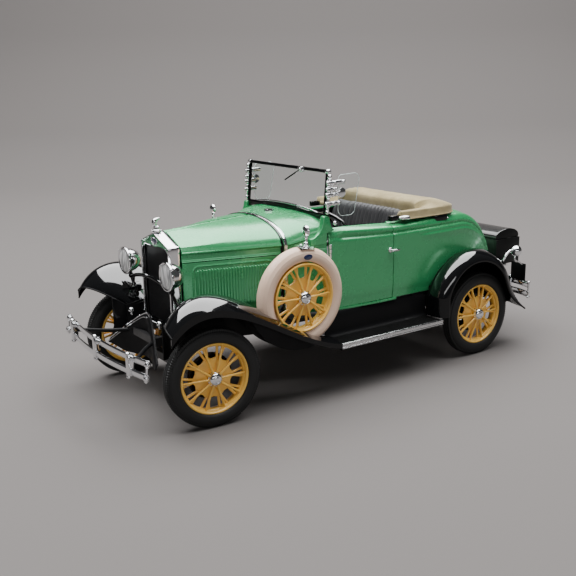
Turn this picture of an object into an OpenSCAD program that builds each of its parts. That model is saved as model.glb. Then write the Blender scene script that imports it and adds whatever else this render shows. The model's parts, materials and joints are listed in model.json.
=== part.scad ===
// A 1:18 open two-seat roadster of about 1930, as a collector's model with opening
// doors, hood, rumble lid and trunk, steered front wheels and rolling wheels.
// The car faces +X, its left side is +Y, and it stands on Z = 0 under its own middle.
// Inside the modules, X is measured ahead of the rear axle.

/* [Car] */
// Distance between the axles
wheelbase = 146; // [140:0.5:152]
// Distance between the tyre centres of one axle
track = 79; // [77:0.5:80]
// Rear axle line, measured from the middle of the whole length
rear_axle_x = -66.5; // [-70:0.5:-60]
// Rest angle of the front wheels, negative to the car's right
steer_rest = -5; // [-5:1:5]

/* [Wheels] */
// Outer radius of the tyres
tyre_r = 20.1; // [19:0.1:20.5]
// Radius of the round tyre section
tyre_section = 3.4; // [3:0.1:3.6]
// Outer radius of the rim's lip
rim_r = 14.45; // [14:0.05:15]
// Number of long spokes
spokes = 10; // [8:1:12]
// Radius of the wheel spindles and of the rear shaft
shaft_r = 1.25; // [1.1:0.05:1.4]
// Radial play of every shaft and pin in its hole
play = 0.06; // [0.03:0.01:0.1]

/* [Body] */
// Sheet thickness of the body, hood and lids
skin = 1.2; // [1:0.1:1.4]
// Sheet thickness of the fenders
fender_skin = 0.9; // [0.8:0.05:1]
// Half width of the body at the doors
body_w = 34; // [33:0.25:34.5]
// Height of the lower edge of the body
body_z = 34.6; // [34:0.1:35.5]
// Gap around every opening panel
gap = 0.35; // [0.3:0.05:0.5]

/* [Display base screws] */
// Radius of the two threaded holes in the floor pan
screw_r = 1.25; // [1:0.05:1.5]
// Depth of the two threaded holes
screw_depth = 6; // [5:0.5:6.5]

/* [Hidden] */
$fn = 48;
front_x = wheelbase;
kingpin_y = 33;
kingpin_r = 0.8;
arm_len = 9;
wheel_off = track / 2 - kingpin_y;
hood_front = 144.2;
hood_rear = 103.6;
cowl_front = 102.6;
cowl_rear = 84;
seam_z = 60.8;
crease_z = 64.7;
side_foot = 37.5;
door_front = 83;
door_rear = 48;
door_hinge = [83.3, 32.4];
belt_z = 69;
deck_front = 46;
lid_rear = -18;
lid_front = 4;
lid_w = 21;
fender_y = 46.5;
wheel_dir = [-0.8, 0, 0.6];
wheel_centre = [64, 14, 64.5];
spare = [102.9, 38, 45.2];
well_y = [34.1, 41.9];
well_r = 21.4;
trunk = [-46, -28.6, 25.5, 37, 50];

// ---- helpers ----

// Measures X ahead of the rear axle instead of from the middle of the car.
module car() { translate([rear_axle_x, 0, 0]) children(); }

// Draws its children on the left and mirrored on the right.
module both_sides() {
  children();
  mirror([0, 1, 0]) children();
}

module mirrored(side) {
  if (side > 0) children();
  else mirror([0, 1, 0]) children();
}

// A plate that stands across the car: the outline's X and Y become Y and Z.
module across(x, thick) {
  translate([x, 0, 0]) rotate([90, 0, 90]) linear_extrude(thick) children();
}

// A plate that stands along the car: the outline's X and Y become X and Z.
module along(y, thick) {
  translate([0, y, 0]) rotate([90, 0, 0]) translate([0, 0, -thick]) linear_extrude(thick) children();
}

// A round bar between two points.
module bar(a, b, r) {
  d = b - a;
  translate(a)
    rotate([0, acos(d[2] / norm(d)), atan2(d[1], d[0])])
      cylinder(h = norm(d), r = r);
}

module block(lo, hi) { translate(lo) cube(hi - lo); }

// A closed sheet over a grid of points, with a second grid as its inner face.
module sheet(outer, inner) {
  rows = len(outer);
  cols = len(outer[0]);
  half = rows * cols;
  points = concat([for (r = outer) each r], [for (r = inner) each r]);
  function at(i, j, s) = s * half + i * cols + j;
  skins = [for (i = [0:rows - 2], j = [0:cols - 2], s = [0, 1])
    let (a = at(i, j, s), b = at(i, j + 1, s), c = at(i + 1, j + 1, s), d = at(i + 1, j, s))
    each (s == 0 ? [[a, b, c], [a, c, d]] : [[a, c, b], [a, d, c]])];
  ends = [for (j = [0:cols - 2], i = [0, rows - 1])
    let (a = at(i, j, 0), b = at(i, j + 1, 0), c = at(i, j + 1, 1), d = at(i, j, 1))
    each (i == 0 ? [[a, c, b], [a, d, c]] : [[a, b, c], [a, c, d]])];
  rims = [for (i = [0:rows - 2], j = [0, cols - 1])
    let (a = at(i, j, 0), b = at(i + 1, j, 0), c = at(i + 1, j, 1), d = at(i, j, 1))
    each (j == 0 ? [[a, b, c], [a, c, d]] : [[a, c, b], [a, d, c]])];
  polyhedron(points = points, faces = concat(skins, ends, rims), convexity = 6);
}

function mix(a, b, t) = a + (b - a) * t;

// A point on a cubic curve with four control points.
function bez(p, t) =
  pow(1 - t, 3) * p[0] + 3 * t * pow(1 - t, 2) * p[1] + 3 * t * t * (1 - t) * p[2] + pow(t, 3) * p[3];

// ---- body surfaces ----

// Half width of the hood, cowl and body at x.
function half_w(x) =
  x > cowl_rear ? 31.3 - 0.287 * (x - cowl_rear)
  : x > 50 ? body_w - (body_w - 31.3) * pow((x - 50) / (cowl_rear - 50), 2)
  : x > 28 ? body_w
  : body_w - 7 * pow((28 - x) / 52, 2);

// Height of the middle of the hood and cowl at x.
function hood_top(x) = x > cowl_front ? 72.6 + 0.055 * (hood_front - x) : 74.9 + 0.14 * (cowl_front - x);

// Height of the middle of the rear deck, an ellipse down to the tail.
function deck_top(x) = x > 6 ? 70.2 : 34 + 36.2 * sqrt(max(0.02, 1 - pow((6 - x) / 30.5, 2)));

// Height of the crease along the body side.
function side_crease(x) = x > 5 ? 61 : 34 + 27 * sqrt(max(0.02, 1 - pow((5 - x) / 28, 2)));

// Half of a body section, from the foot of the side to the middle of the top.
function half_section(w, foot, shoulder, top, fullness, steps) = concat(
  [[w - 0.6, foot], [w, min(foot + 6, shoulder - 1)]],
  [for (i = [0:steps])
    let (a = 90 * i / steps)
    [w * pow(cos(a), 2 / fullness), shoulder + (top - shoulder) * pow(sin(a), 2 / fullness)]]);

module slice(x, half) {
  n = len(half);
  outline = concat(half, [for (i = [n - 2:-1:0]) [-half[i][0], half[i][1]]]);
  across(x, 0.05) polygon(outline);
}

// The closed body between the slices at the given stations, shrunk by t.
module hood_block(stations, t, foot) {
  for (i = [0:len(stations) - 2])
    hull() for (x = [stations[i], stations[i + 1]])
      slice(x, half_section(half_w(x) - t, foot, crease_z, hood_top(x) - t, 2, 7));
}

module deck_block(stations, t, foot) {
  for (i = [0:len(stations) - 2])
    hull() for (x = [stations[i], stations[i + 1]])
      slice(x, half_section(half_w(x) - t, foot, side_crease(x) - t, deck_top(x) - t, 4, 7));
}

hood_stations = [hood_front, 134, 124, 114, hood_rear];
cowl_stations = [cowl_front, 98, 93, 88, cowl_rear];
deck_stations = [deck_front, 28, 14, 6, 0, -6, -11, -15, -18.5, -21, -23.2];

// ---- chassis ----

module rail_outline() {
  polygon([[158, 10.4], [158, 12.8], [118, 15.2], [96, 20.2], [-8, 20.2], [-22, 16.2],
    [-22, 13.8], [-8, 17.8], [96, 17.8], [118, 12.8]]);
}

module chassis_frame() color("#1b1c1e") car() {
  both_sides() translate([0, 0, 27.6]) linear_extrude(3.8) rail_outline();
  block([154.5, -11, 28], [157.5, 11, 31]);
  block([98, -19, 28], [101, 19, 31]);
  block([44, -19, 28], [47, 19, 31]);
  block([-16, -17.5, 28], [-13, 17.5, 31]);
}

screw_spots = [[38, 10], [92, 10]];

module floor_pan() color("#232325") car() difference() {
  union() {
    block([20, -30.5, 31.9], [102, 30.5, 33.2]);
    for (p = screw_spots)
      translate([p[0], p[1], 25.6]) cylinder(h = 7, r = 3);
  }
  for (p = screw_spots)
    translate([p[0], p[1], 25]) cylinder(h = screw_depth + 0.6, r = screw_r);
}

// A stack of three bowed leaves across the car.
module leaf_stack(x, half_span, low, high) {
  rise = high - low;
  bow_r = (half_span * half_span + rise * rise) / (2 * rise);
  for (i = [0:2])
    across(x - 1.3, 2.6) intersection() {
      translate([0, high - bow_r]) difference() {
        circle(r = bow_r - 0.7 * i, $fn = 120);
        circle(r = bow_r - 0.7 * i - 0.68, $fn = 120);
      }
      translate([-half_span * (1 - 0.22 * i), low - 3]) square([2 * half_span * (1 - 0.22 * i), 40]);
    }
}

module leaf_springs() color("#2a2b2d") car() {
  leaf_stack(150.5, 24, 22.6, 27.5);
  leaf_stack(-8, 26, 22.8, 27.5);
}

module front_axle() color("#1d1e20") car() {
  // The dropped beam, with an eye and a kingpin at each end
  across(front_x - 1.3, 2.6) polygon([[-31.4, 21.6], [-31.4, 18.6], [-26, 18.6], [-20, 15.6], [20, 15.6],
    [26, 18.6], [31.4, 18.6], [31.4, 21.6], [25, 21.6], [19, 18.8], [-19, 18.8], [-25, 21.6]]);
  both_sides() translate([front_x, kingpin_y, 0]) {
    translate([0, 0, 18.6]) cylinder(h = 3, r = 1.9);
    translate([0, 0, 15.6]) cylinder(h = 9, r = kingpin_r);
  }
}

module rear_axle_housing() color("#1d1e20") car() difference() {
  union() {
    translate([0, -33.4, tyre_r]) rotate([-90, 0, 0]) cylinder(h = 66.8, r = 2.5);
    translate([0, 0, tyre_r]) sphere(r = 6.6);
    both_sides() translate([0, 32.6, tyre_r]) rotate([-90, 0, 0]) cylinder(h = 0.9, r = 7.4);
    bar([3, 0, 20.6], [106, 0, 25.6], 1.5);
  }
  translate([0, -40, tyre_r]) rotate([-90, 0, 0]) cylinder(h = 80, r = shaft_r + play);
}

module exhaust() color("#6b6a66") car() {
  bar([108, -9, 26.4], [70, -14, 25.4], 1.1);
  bar([70, -14, 25.4], [42, -14, 25.4], 2.3);
  bar([42, -14, 25.4], [14, -14, 25.6], 0.9);
}

module engine_block() color("#2f4038") car() {
  block([112, -6.6, 34.2], [137, 6.6, 50]);
  block([110, -4.6, 29.6], [135, 4.6, 34.2]);
  translate([137, 0, 45]) rotate([0, 90, 0]) cylinder(h = 2, r = 2.6);
  for (i = [0:9])
    translate([140, 0, 45]) rotate([9 + 36 * i, 0, 0]) block([-0.2, -0.8, 1], [0.2, 0.8, i % 2 == 0 ? 7.6 : 1.2]);
  translate([139, 0, 45]) rotate([0, 90, 0]) cylinder(h = 1.6, r = 1.5);
}

module cylinder_head() color("#2f4038") car() {
  block([113, -6, 50], [136.5, 6, 53.4]);
  for (i = [0:3]) translate([116.5 + 5.6 * i, 2.4, 53.4]) cylinder(h = 2.6, r = 0.75);
  translate([124.5, -3, 53.4]) cylinder(h = 5, r = 1.7);
}

// ---- radiator ----

// Front outline of the radiator shell: straight sides, square shoulders and a low gable.
module shell_outline(inset) {
  w = 13.2 - inset;
  foot = 32.4 + inset;
  peak = 72.6 - 1.07 * inset;
  slope = 0.385;
  nib = 0.6;
  shoulder = peak - slope * w;
  polygon([[-w, foot], [w, foot], [w, shoulder - nib], [w - nib, shoulder + slope * nib], [0, peak],
    [nib - w, shoulder + slope * nib], [-w, shoulder - nib]]);
}

module radiator_core() color("#15161a") car() across(145.4, 2.8) shell_outline(1.45);

module radiator_shell() color("#d9dce0") car() {
  across(144.6, 5.2) difference() {
    shell_outline(0);
    shell_outline(1.4);
  }
  // Painted panel in the top of the opening
  across(148.3, 1) intersection() {
    shell_outline(1.4);
    polygon([[-12, 64.7], [-9.4, 66.4], [9.4, 66.4], [12, 64.7], [12, 76], [-12, 76]]);
  }
}

module radiator_cap() color("#d9dce0") car() {
  translate([148, 0, 72.3]) cylinder(h = 1.2, r = 1.9);
  translate([148, 0, 73.5]) cylinder(h = 1.3, r = 1.3);
  translate([148, 0, 75.9]) sphere(r = 1.25);
  translate([148, 0, 76.4]) cylinder(h = 1.7, r = 0.5);
}

// ---- cowl and body ----

module cowl() color("#3f9e68") car() {
  difference() {
    hood_block(cowl_stations, 0, 34.2);
    hood_block([cowl_front - 1, 98, 93, 88, cowl_rear - 1], skin, 33);
    block([80, -30.8, 74], [84.95, 30.8, 82]);
  }
  // Rod that both halves of the hood turn on
  bar([cowl_front, 0, hood_top(cowl_front) - 0.75], [144.6, 0, hood_top(hood_front) - 0.75], 0.45);
}

module body_tub() color("#3f9e68") car() {
  difference() {
    deck_block(deck_stations, 0, body_z);
    deck_block([for (x = deck_stations) x < -22 ? x + skin : x > 45 ? x + 1 : x], skin, body_z + skin);
    block([lid_rear - gap, -lid_w - gap, 40], [lid_front + gap, lid_w + gap, 80]);
    block([12, -28, 60], [60, 28, 80]);
  }
  // Sills under the doors and posts in front of them
  both_sides() {
    for (x = [46, 58, 70]) hull() for (p = [x, x + 12])
      block([p, half_w(p) - skin - 1, body_z - 1.1], [p + 0.1, half_w(p), body_z - 0.1]);
    block([door_front + 0.9, 28.1, body_z - 1], [cowl_rear + 1.5, 29.3, 66]);
  }
}

module cowl_band() color("#101113") car()
  difference() {
    for (i = [0:1]) hull() for (x = [cowl_front + 0.05 + 0.3 * i, cowl_front + 0.35 + 0.3 * i])
      slice(x, half_section(half_w(x) + 0.35, 36, crease_z, hood_top(x) + 0.35, 2, 9));
    slice_hole(cowl_front - 1, cowl_front + 2);
  }

module slice_hole(x0, x1) {
  hull() for (x = [x0, x1]) slice(x, half_section(half_w(cowl_front) - 1.6, 30, crease_z, hood_top(cowl_front) - 1.6, 2, 9));
}

module dashboard() color("#3b3c40") car() {
  block([85.6, -27.9, 58], [87, 27.9, 67]);
  translate([85.6, 0, 64]) rotate([0, -90, 0]) cylinder(h = 0.5, r = 5);
  for (y = [-5, 6]) bar([86, y, 60], [82.4, y, 57.2], 0.45);
}

module steering_column() color("#17181a") car() {
  bar(wheel_centre - 1.6 * wheel_dir, wheel_centre - 45 * wheel_dir, 0.9);
  bar([88, 7, 34], [80, 7, 48], 0.4);
  translate([80, 7, 48]) sphere(r = 0.9);
  for (y = [17, 21]) bar([98, y, 33.4], [94, y, 38.6], 0.9);
}

// ---- seats and folded top ----

module seat_cushion() color("#2a2a2e") car() hull() {
  block([41, -27, 41], [61, 27, 48]);
  block([43, -26, 40.5], [59, 26, 50.5]);
}

module seat_back() color("#2a2a2e") car() hull() {
  block([35.5, -26.5, 51.2], [40, 26.5, 53]);
  block([31.5, -26.5, 68], [37, 26.5, 70.6]);
  block([32.5, -26, 71], [35.5, 26, 72.4]);
}

// A folded fabric roof: a flat pack behind the seat with an arm on each side.
module soft_top() color("#b3a37a") car() {
  hull() {
    block([7, -28, 71], [29, 28, 72]);
    block([9, -27, 71], [27, 27, 76.4]);
  }
  both_sides() hull() {
    block([7, 27, 69.6], [42, 32.6, 70.4]);
    block([7.6, 27.4, 69.6], [41.6, 32.2, 73.4]);
  }
}

// ---- windshield ----

post_foot = [84.6, 31.8, 68.4];
post_head = [82.5, 31.8, 92];
post_r = 0.55;
post_lean = atan2(post_foot[0] - post_head[0], post_head[2] - post_foot[2]);
glass_foot = [83.9, 76];
glass_head = [82.1, 94.4];

module windshield_bar(a, b, y0, y1, t) {
  hull() for (p = [a, b]) block([p[0] - t, y0, p[1] - t], [p[0] + t, y1, p[1] + t]);
}

module windshield_frame() color("#0f1012") car() {
  windshield_bar(glass_foot, glass_foot, -30.6, 30.6, 0.75);
  windshield_bar(glass_head, glass_head, -30.6, 30.6, 0.75);
  both_sides() {
    windshield_bar(glass_foot, glass_head, 29.4, 30.6, 0.75);
    // Chrome post that carries the wind wing, standing on the cowl
    bar(post_foot, post_head, post_r);
  }
  // Wiper motor and arm
  block([82.8, 16.4, 91.2], [84.4, 19.4, 93.6]);
  bar([84.6, 17.9, 92.4], [85, 14.9, 80.5], 0.3);
}

module windshield_glass() color("#cfe3e0", 0.4) car()
  hull() for (p = [glass_foot, glass_head])
    block([p[0] - 0.25, -29.3, p[1] + (p == glass_foot ? 0.8 : -0.85)],
      [p[0] + 0.25, 29.3, p[1] + (p == glass_foot ? 0.85 : -0.8)]);

// ---- fenders ----

// Front fender, left: an inner edge, a crown and an outer edge, each a curve of two arcs.
inner_a = [[153, 22, 36.5], [150, 17.2, 38.5], [140, 17, 40], [130, 20.4, 39.6]];
inner_b = [[130, 20.4, 39.6], [118, 23.6, 38.6], [106, 27, 30], [87.4, 34.6, 24.2]];
crown_a = [[164.2, 35.5, 43.4], [161, 35.5, 50], [153, 35, 53.6], [145, 35.4, 52.6]];
crown_b = [[145, 35.4, 52.6], [126, 36.4, 50], [113, 38, 31.6], [87.4, 39.4, 24.8]];
outer_a = [[166.6, fender_y - 0.6, 41], [163, fender_y, 46], [157, fender_y, 49.4], [149, fender_y, 49]];
outer_b = [[149, fender_y, 49], [129, fender_y, 47.4], [112, fender_y, 29.4], [87.4, fender_y, 23.4]];

function two_arcs(a, b, t) = t < 0.4 ? bez(a, t / 0.4) : bez(b, (t - 0.4) / 0.6);

function fender_point(t, u) =
  let (i = two_arcs(inner_a, inner_b, t), c = two_arcs(crown_a, crown_b, t), o = two_arcs(outer_a, outer_b, t))
  let (k = 2 * c - (i + o) / 2)
  pow(1 - u, 2) * i + 2 * u * (1 - u) * k + u * u * o;

front_rows = [for (i = [0:20]) i / 20];
front_cols = [for (j = [0:8]) j / 8];

// Round pocket that hangs below the fender and holds the foot of the spare wheel.
module well_pan() along(well_y[0] - 0.7, well_y[1] - well_y[0] + 1.6) intersection() {
  translate([104.5, 51.5]) circle(r = 27.5, $fn = 96);
  polygon([[97.6, 20], [131, 20], [131, 42], [119.3, 37.2], [108.8, 29.4], [97.6, 24.4]]);
}

module front_fender(side) color("#0c0d0f") car() mirrored(side) {
  outer = [for (t = front_rows) concat([for (u = front_cols) fender_point(t, u)],
    [fender_point(t, 1) + [0, 0, -3.4 + 1.4 * t]])];
  inner = [for (t = front_rows) concat(
    [for (u = front_cols) fender_point(t, u) + [0, -fender_skin * u * u, -fender_skin * (1.6 - 0.6 * u)]],
    [fender_point(t, 1) + [0, -fender_skin, -3.4 + 1.4 * t]])];
  difference() {
    union() {
      sheet(inner, outer);
      well_pan();
    }
    // Well that the spare wheel stands in
    translate([spare[0], well_y[0], spare[2]]) rotate([-90, 0, 0])
      cylinder(h = well_y[1] - well_y[0], r = well_r);
  }
}

// Rear fender, left: an arch round the wheel with a riser in front and a flare behind.
// The arch is long beside the body and round at the outer edge.
function rear_edge(t) =
  t < 0.12 ? mix([28.6, 23.6], [28.6, 33], t / 0.12)
  : t < 0.75 ? let (a = 14 + (t - 0.12) / 0.63 * 136) [4.6 + 24.7 * cos(a), 27 + 24.7 * sin(a)]
  : bez([[-16.8, 39.4], [-19.6, 33.6], [-23, 24], [-29.6, 19.6]], (t - 0.75) / 0.25);

function rear_root(t) =
  t < 0.12 ? mix([28.6, 23.6], [28.1, 32.4], t / 0.12)
  : t < 0.75 ? let (a = 14 + (t - 0.12) / 0.63 * 136) [-1 + 29.4 * cos(a), 27 + 24.2 * sin(a)]
  : bez([[-26.5, 39.1], [-28.4, 35], [-29.6, 26], [-32, 19.6]], (t - 0.75) / 0.25);

function rear_path(t, y) =
  let (k = min(1, max(0, (y - 33.9) / 9.7)))
  mix(rear_root(t), rear_edge(t), k * (2 - k));

function rear_normal(t, y) =
  let (d = rear_path(min(1, t + 0.02), y) - rear_path(max(0, t - 0.02), y))
  [d[1], -d[0]] / norm(d);

rear_rows = [for (i = [0:22]) i / 22];
rear_outer = [[33.9, -0.8], [37, 0.4], [40.5, 0.6], [43.6, -0.2], [45.6, -1.8], [fender_y, -4.6]];
rear_inner = [[33.9, -1.9], [37, -0.6], [40.5, -0.4], [43.2, -1.1], [44.8, -2.4], [fender_y - 0.9, -4.6]];

function rear_grid(cross) = [for (t = rear_rows)
  [for (c = cross) let (p = rear_path(t, c[0]), n = rear_normal(t, c[0]))
    [p[0] + n[0] * c[1], c[0], p[1] + n[1] * c[1]]]];

module rear_fender(side) color("#0c0d0f") car() mirrored(side)
  sheet(rear_grid(rear_outer), rear_grid(rear_inner));

module front_fender_left() { front_fender(1); }
module front_fender_right() { front_fender(-1); }
module rear_fender_left() { rear_fender(1); }
module rear_fender_right() { rear_fender(-1); }

// ---- running boards and bumpers ----

module running_boards() color("#17181a") car() both_sides() {
  block([27.8, 34.4, 20.4], [87.2, 45.6, 23.2]);
  // Splash apron between the body and the board
  across(27.8, 59.4) polygon([[32.4, 33.4], [33.4, 33.4], [34.9, 23.3], [33.9, 23.3]]);
}

module board_trims() color("#c9ccd0") car() both_sides() {
  block([28, 45.7, 20.9], [87, 46.3, 23.3]);
}

module bumper_bar(z, tip_x, mid_x, half_span, height) {
  sag = mid_x - tip_x;
  bow_r = (half_span * half_span + sag * sag) / (2 * sag);
  translate([0, 0, z - height / 2]) linear_extrude(height) intersection() {
    translate([mid_x - bow_r, 0]) difference() {
      circle(r = bow_r, $fn = 240);
      circle(r = bow_r - 0.9, $fn = 240);
    }
    translate([tip_x - 2, -half_span]) square([20, 2 * half_span]);
  }
}

module front_bumper() color("#d9dce0") car() {
  bumper_bar(31.1, 173.55, 177.4, 39.8, 3.3);
  bumper_bar(25.9, 174.35, 178.4, 40, 3.3);
  // Centre clamp, end bolts and the irons back to the frame
  block([177.2, -1.3, 23.4], [179, 1.3, 33.6]);
  both_sides() {
    block([175, 27.4, 23.4], [177.4, 29.6, 33.4]);
    bar([173.3, 39.2, 24.2], [173.3, 39.2, 32.8], 0.7);
    bar([175.6, 28, 28.5], [158.2, 11.6, 29.5], 1);
  }
}

module rear_bumpers() color("#d9dce0") car() both_sides() {
  for (z = [23.6, 28.6])
    translate([0, 0, z - 1.6]) linear_extrude(3.2)
      polygon([[-38.4, 18], [-39.3, 18], [-39.6, 26], [-38.9, 35], [-36.6, 42.2], [-35.8, 41.9], [-38, 34.8], [-38.7, 26]]);
  block([-39.6, 26.4, 21.4], [-38, 28.4, 30.8]);
  bar([-38.6, 27.4, 26.1], [-22.4, 15, 29.3], 1);
}

// ---- lamps and horn ----

lamp = [154.4, 19.75, 57.8];

module headlight_bar() color("#0f1012") car() {
  bow_r = 62;
  across(151.2, 1.8) intersection() {
    translate([0, 54.6 - bow_r]) difference() {
      circle(r = bow_r, $fn = 180);
      circle(r = bow_r - 1.6, $fn = 180);
    }
    translate([-19.4, 40]) square([38.8, 30]);
  }
  both_sides() {
    bar([151.8, 17.6, 50.6], [148.6, 21, 42], 0.8);
    bar([152, 19.2, 50.2], [152, 19.75, 52.4], 0.9);
  }
}

module headlight_shells() color("#d9dce0") car() both_sides() translate(lamp) rotate([0, 90, 0])
  rotate_extrude() difference() {
    union() {
      polygon([[0, -7.4], [2.2, -7], [3.9, -5.4], [5, -3.2], [5.4, -1], [5.4, -0.6], [0, -0.6]]);
      translate([0, -1]) square([6, 1.2]);
    }
    polygon([[0, -6.4], [1.8, -6.2], [3.4, -4.8], [4.4, -3], [4.8, -1], [4.8, 0.3], [0, 0.3]]);
  }

module headlight_lenses() color("#e8f2f4", 0.6) car() both_sides() translate(lamp) rotate([0, 90, 0])
  rotate_extrude() polygon([[0, -0.9], [4.75, -0.9], [4.75, 0.2], [3.6, 0.7], [2, 1], [0, 1.1]]);

module horn() color("#0f1012") car() translate([154.6, -16, 46.4]) rotate([0, 90, 0])
  rotate_extrude() polygon([[0, -4.6], [2.2, -4.6], [2.2, -2.6], [0.9, -2.2], [1.2, -0.6], [3, 1], [3.4, 1.6],
    [2.8, 1.6], [2.2, 0.8], [0, -0.2]]);

// ---- spare wheels ----

module spare_place(side) {
  translate([spare[0], side * spare[1], spare[2]]) rotate([side > 0 ? -90 : 90, 0, 0]) children();
}

module spare_covers() color("#e1c8b4") car() for (side = [-1, 1]) spare_place(side)
  rotate_extrude() difference() {
    union() {
      translate([17.5, 0]) circle(r = 3.4);
      translate([14, -3.4]) square([3.5, 6.8]);
    }
    translate([0, -5]) square([rim_r + 0.3, 10]);
  }

module rim_body(front) {
  rotate_extrude() polygon([[rim_r - 1.6, -2.6], [rim_r, -2.6], [rim_r, -2.1], [rim_r - 0.6, -1.8],
    [rim_r - 0.6, 1.8], [rim_r, 2.1], [rim_r, 2.6], [rim_r - 1.6, 2.6]]);
  for (i = [0:spokes - 1]) rotate([0, 0, 360 * i / spokes])
    block([2.6, -0.5, front - 1.4], [rim_r - 1.3, 0.5, front - 0.4]);
}

module spare_rims() color("#e6b24c") car() for (side = [-1, 1]) spare_place(side) {
  rim_body(2.4);
  translate([0, 0, -3.2]) cylinder(h = 5.6, r = 3.2);
  translate([0, 0, 2.4]) cylinder(h = 1, r = 2.4);
}

module spare_mirrors() color("#d9dce0") car() both_sides() {
  // Strap plate on the cover, a stalk and a round mirror
  block([97.6, 35, 66.2], [101.6, 40.6, 66.8]);
  bar([99.6, 38, 66.8], [99.4, 38, 70.6], 0.5);
  translate([99.9, 38, 72.3]) rotate([0, -90, 0]) cylinder(h = 1, r = 2);
}

// ---- tail ----

module tail_lamps() color("#d9dce0") car() both_sides() {
  translate([-30.4, 38, 46.4]) rotate([0, 90, 0]) cylinder(h = 3.4, r = 2.1);
  bar([-27.2, 38, 46.4], [-19.4, 37, 42.4], 0.6);
}

module luggage_rack() color("#17181a") car() {
  for (y = [-18, -9, 0, 9, 18]) block([-44.6, y - 0.7, 35], [-24.2, y + 0.7, 36.7]);
  for (x = [-44.4, -26]) block([x, -20, 33.8], [x + 1.6, 20, 35]);
  both_sides() block([-26, 14, 31.5], [-19, 15.6, 33.8]);
  // Number plate bracket, left blank
  block([-36.4, 28.6, 31.8], [-35.8, 40.4, 37.6]);
  bar([-36, 29.4, 33], [-44, 19.4, 34.2], 0.5);
}

module trunk_shape(x0, x1, w, z0, z1) { block([x0, -w, z0], [x1, w, z1]); }

module trunk_body() color("#131416") car() difference() {
  trunk_shape(trunk[0] + 0.4, trunk[1] - 0.4, trunk[2] - 0.4, trunk[3], trunk[4]);
  trunk_shape(trunk[0] + 1.6, trunk[1] - 1.6, trunk[2] - 1.6, trunk[3] + 1.2, trunk[4] + 1);
}

module trunk_lid() color("#131416") car() difference() {
  hull() {
    trunk_shape(trunk[0], trunk[1], trunk[2], trunk[4] + gap, trunk[4] + 3);
    trunk_shape(trunk[0] + 2.5, trunk[1] - 2.5, trunk[2] - 2, trunk[4] + 4, trunk[4] + 5);
  }
  trunk_shape(trunk[0] + 1.2, trunk[1] - 1.2, trunk[2] - 1.2, trunk[4], trunk[4] + 2.6);
}

// ---- wheels ----

module wheel_place(x, side) {
  translate([x, side * track / 2, tyre_r]) rotate([side > 0 ? -90 : 90, 0, 0]) children();
}

// Turns its children about the left or right kingpin, as the wheels rest steered.
module steered(side) {
  translate([front_x, side * kingpin_y, tyre_r]) rotate([0, 0, steer_rest]) children();
}

module front_wheel_place(side) {
  steered(side) translate([0, side * wheel_off, 0]) rotate([side > 0 ? -90 : 90, 0, 0]) children();
}

module tyre() color("#141416") rotate_extrude() difference() {
  union() {
    translate([tyre_r - tyre_section, 0]) circle(r = tyre_section);
    translate([tyre_r - tyre_section, -2.3]) square([tyre_section, 4.6]);
  }
  translate([0, -5]) square([rim_r + 0.05, 10]);
}

// A wheel with a drum inside, a hub bore and a chrome cap.
module rim(bore_r) {
  color("#e6b24c") difference() {
    union() {
      rim_body(2.4);
      translate([0, 0, -3]) cylinder(h = 5.2, r = 2.9);
      translate([0, 0, -3.4]) cylinder(h = 1.4, r = 6.6);
    }
    translate([0, 0, -6]) cylinder(h = 7.6, r = bore_r);
  }
  color("#d9dce0") translate([0, 0, 2.2]) {
    cylinder(h = 1.2, r = 2.5);
    translate([0, 0, 1.2]) cylinder(h = 0.8, r = 1.8);
  }
}

module rear_shaft() color("#8b8d90") car()
  translate([0, -track / 2 - 1.2, tyre_r]) rotate([-90, 0, 0]) cylinder(h = track + 2.4, r = shaft_r);

module tyres_rear() car() for (side = [-1, 1]) wheel_place(0, side) tyre();
module rims_rear() car() for (side = [-1, 1]) wheel_place(0, side) rim(shaft_r);
module tyre_front(side) car() front_wheel_place(side) tyre();
module rim_front(side) car() front_wheel_place(side) rim(shaft_r + play);
module tyre_front_left() { tyre_front(1); }
module tyre_front_right() { tyre_front(-1); }
module rim_front_left() { rim_front(1); }
module rim_front_right() { rim_front(-1); }

// A stub axle: a fork on the kingpin, the spindle, a backing plate and the steering arm.
module knuckle(side) color("#1d1e20") car() steered(side) difference() {
  union() {
    for (z = [-4.3, 1.7]) translate([0, 0, z]) cylinder(h = 2.6, r = 1.9);
    mirrored(side) {
      block([-1.4, 2.1, -4.3], [1.4, 2.9, 4.3]);
      block([-1.4, 0, -4.3], [1.4, 2.2, -1.7]);
      block([-1.4, 0, 1.7], [1.4, 2.2, 4.3]);
      translate([0, wheel_off - 4, 0]) rotate([-90, 0, 0]) cylinder(h = 5.2, r = shaft_r);
      translate([0, 2.2, 0]) rotate([-90, 0, 0]) cylinder(h = 0.7, r = 5.8);
    }
    block([-arm_len, -0.7, -4.3], [-0.5, 0.7, -2.9]);
    translate([-arm_len, 0, -4.3]) cylinder(h = 1.4, r = 1.3);
    translate([-arm_len, 0, -7.2]) cylinder(h = 3.4, r = 0.6);
  }
  translate([0, 0, -8]) cylinder(h = 16, r = kingpin_r + play);
}

module knuckle_left() { knuckle(1); }
module knuckle_right() { knuckle(-1); }

tie_x = front_x - arm_len * cos(steer_rest);
tie_shift = -arm_len * sin(steer_rest);

module tie_rod() color("#17181a") car() translate([tie_x, tie_shift, tyre_r - 6.8]) difference() {
  union() {
    for (s = [-1, 1]) translate([0, s * kingpin_y, 0]) cylinder(h = 2.2, r = 1.5);
    translate([0, -kingpin_y + 1.2, 1.1]) rotate([-90, 0, 0]) cylinder(h = 2 * kingpin_y - 2.4, r = 0.7);
  }
  for (s = [-1, 1]) translate([0, s * kingpin_y, -1]) cylinder(h = 5, r = 0.6 + play);
}

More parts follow.
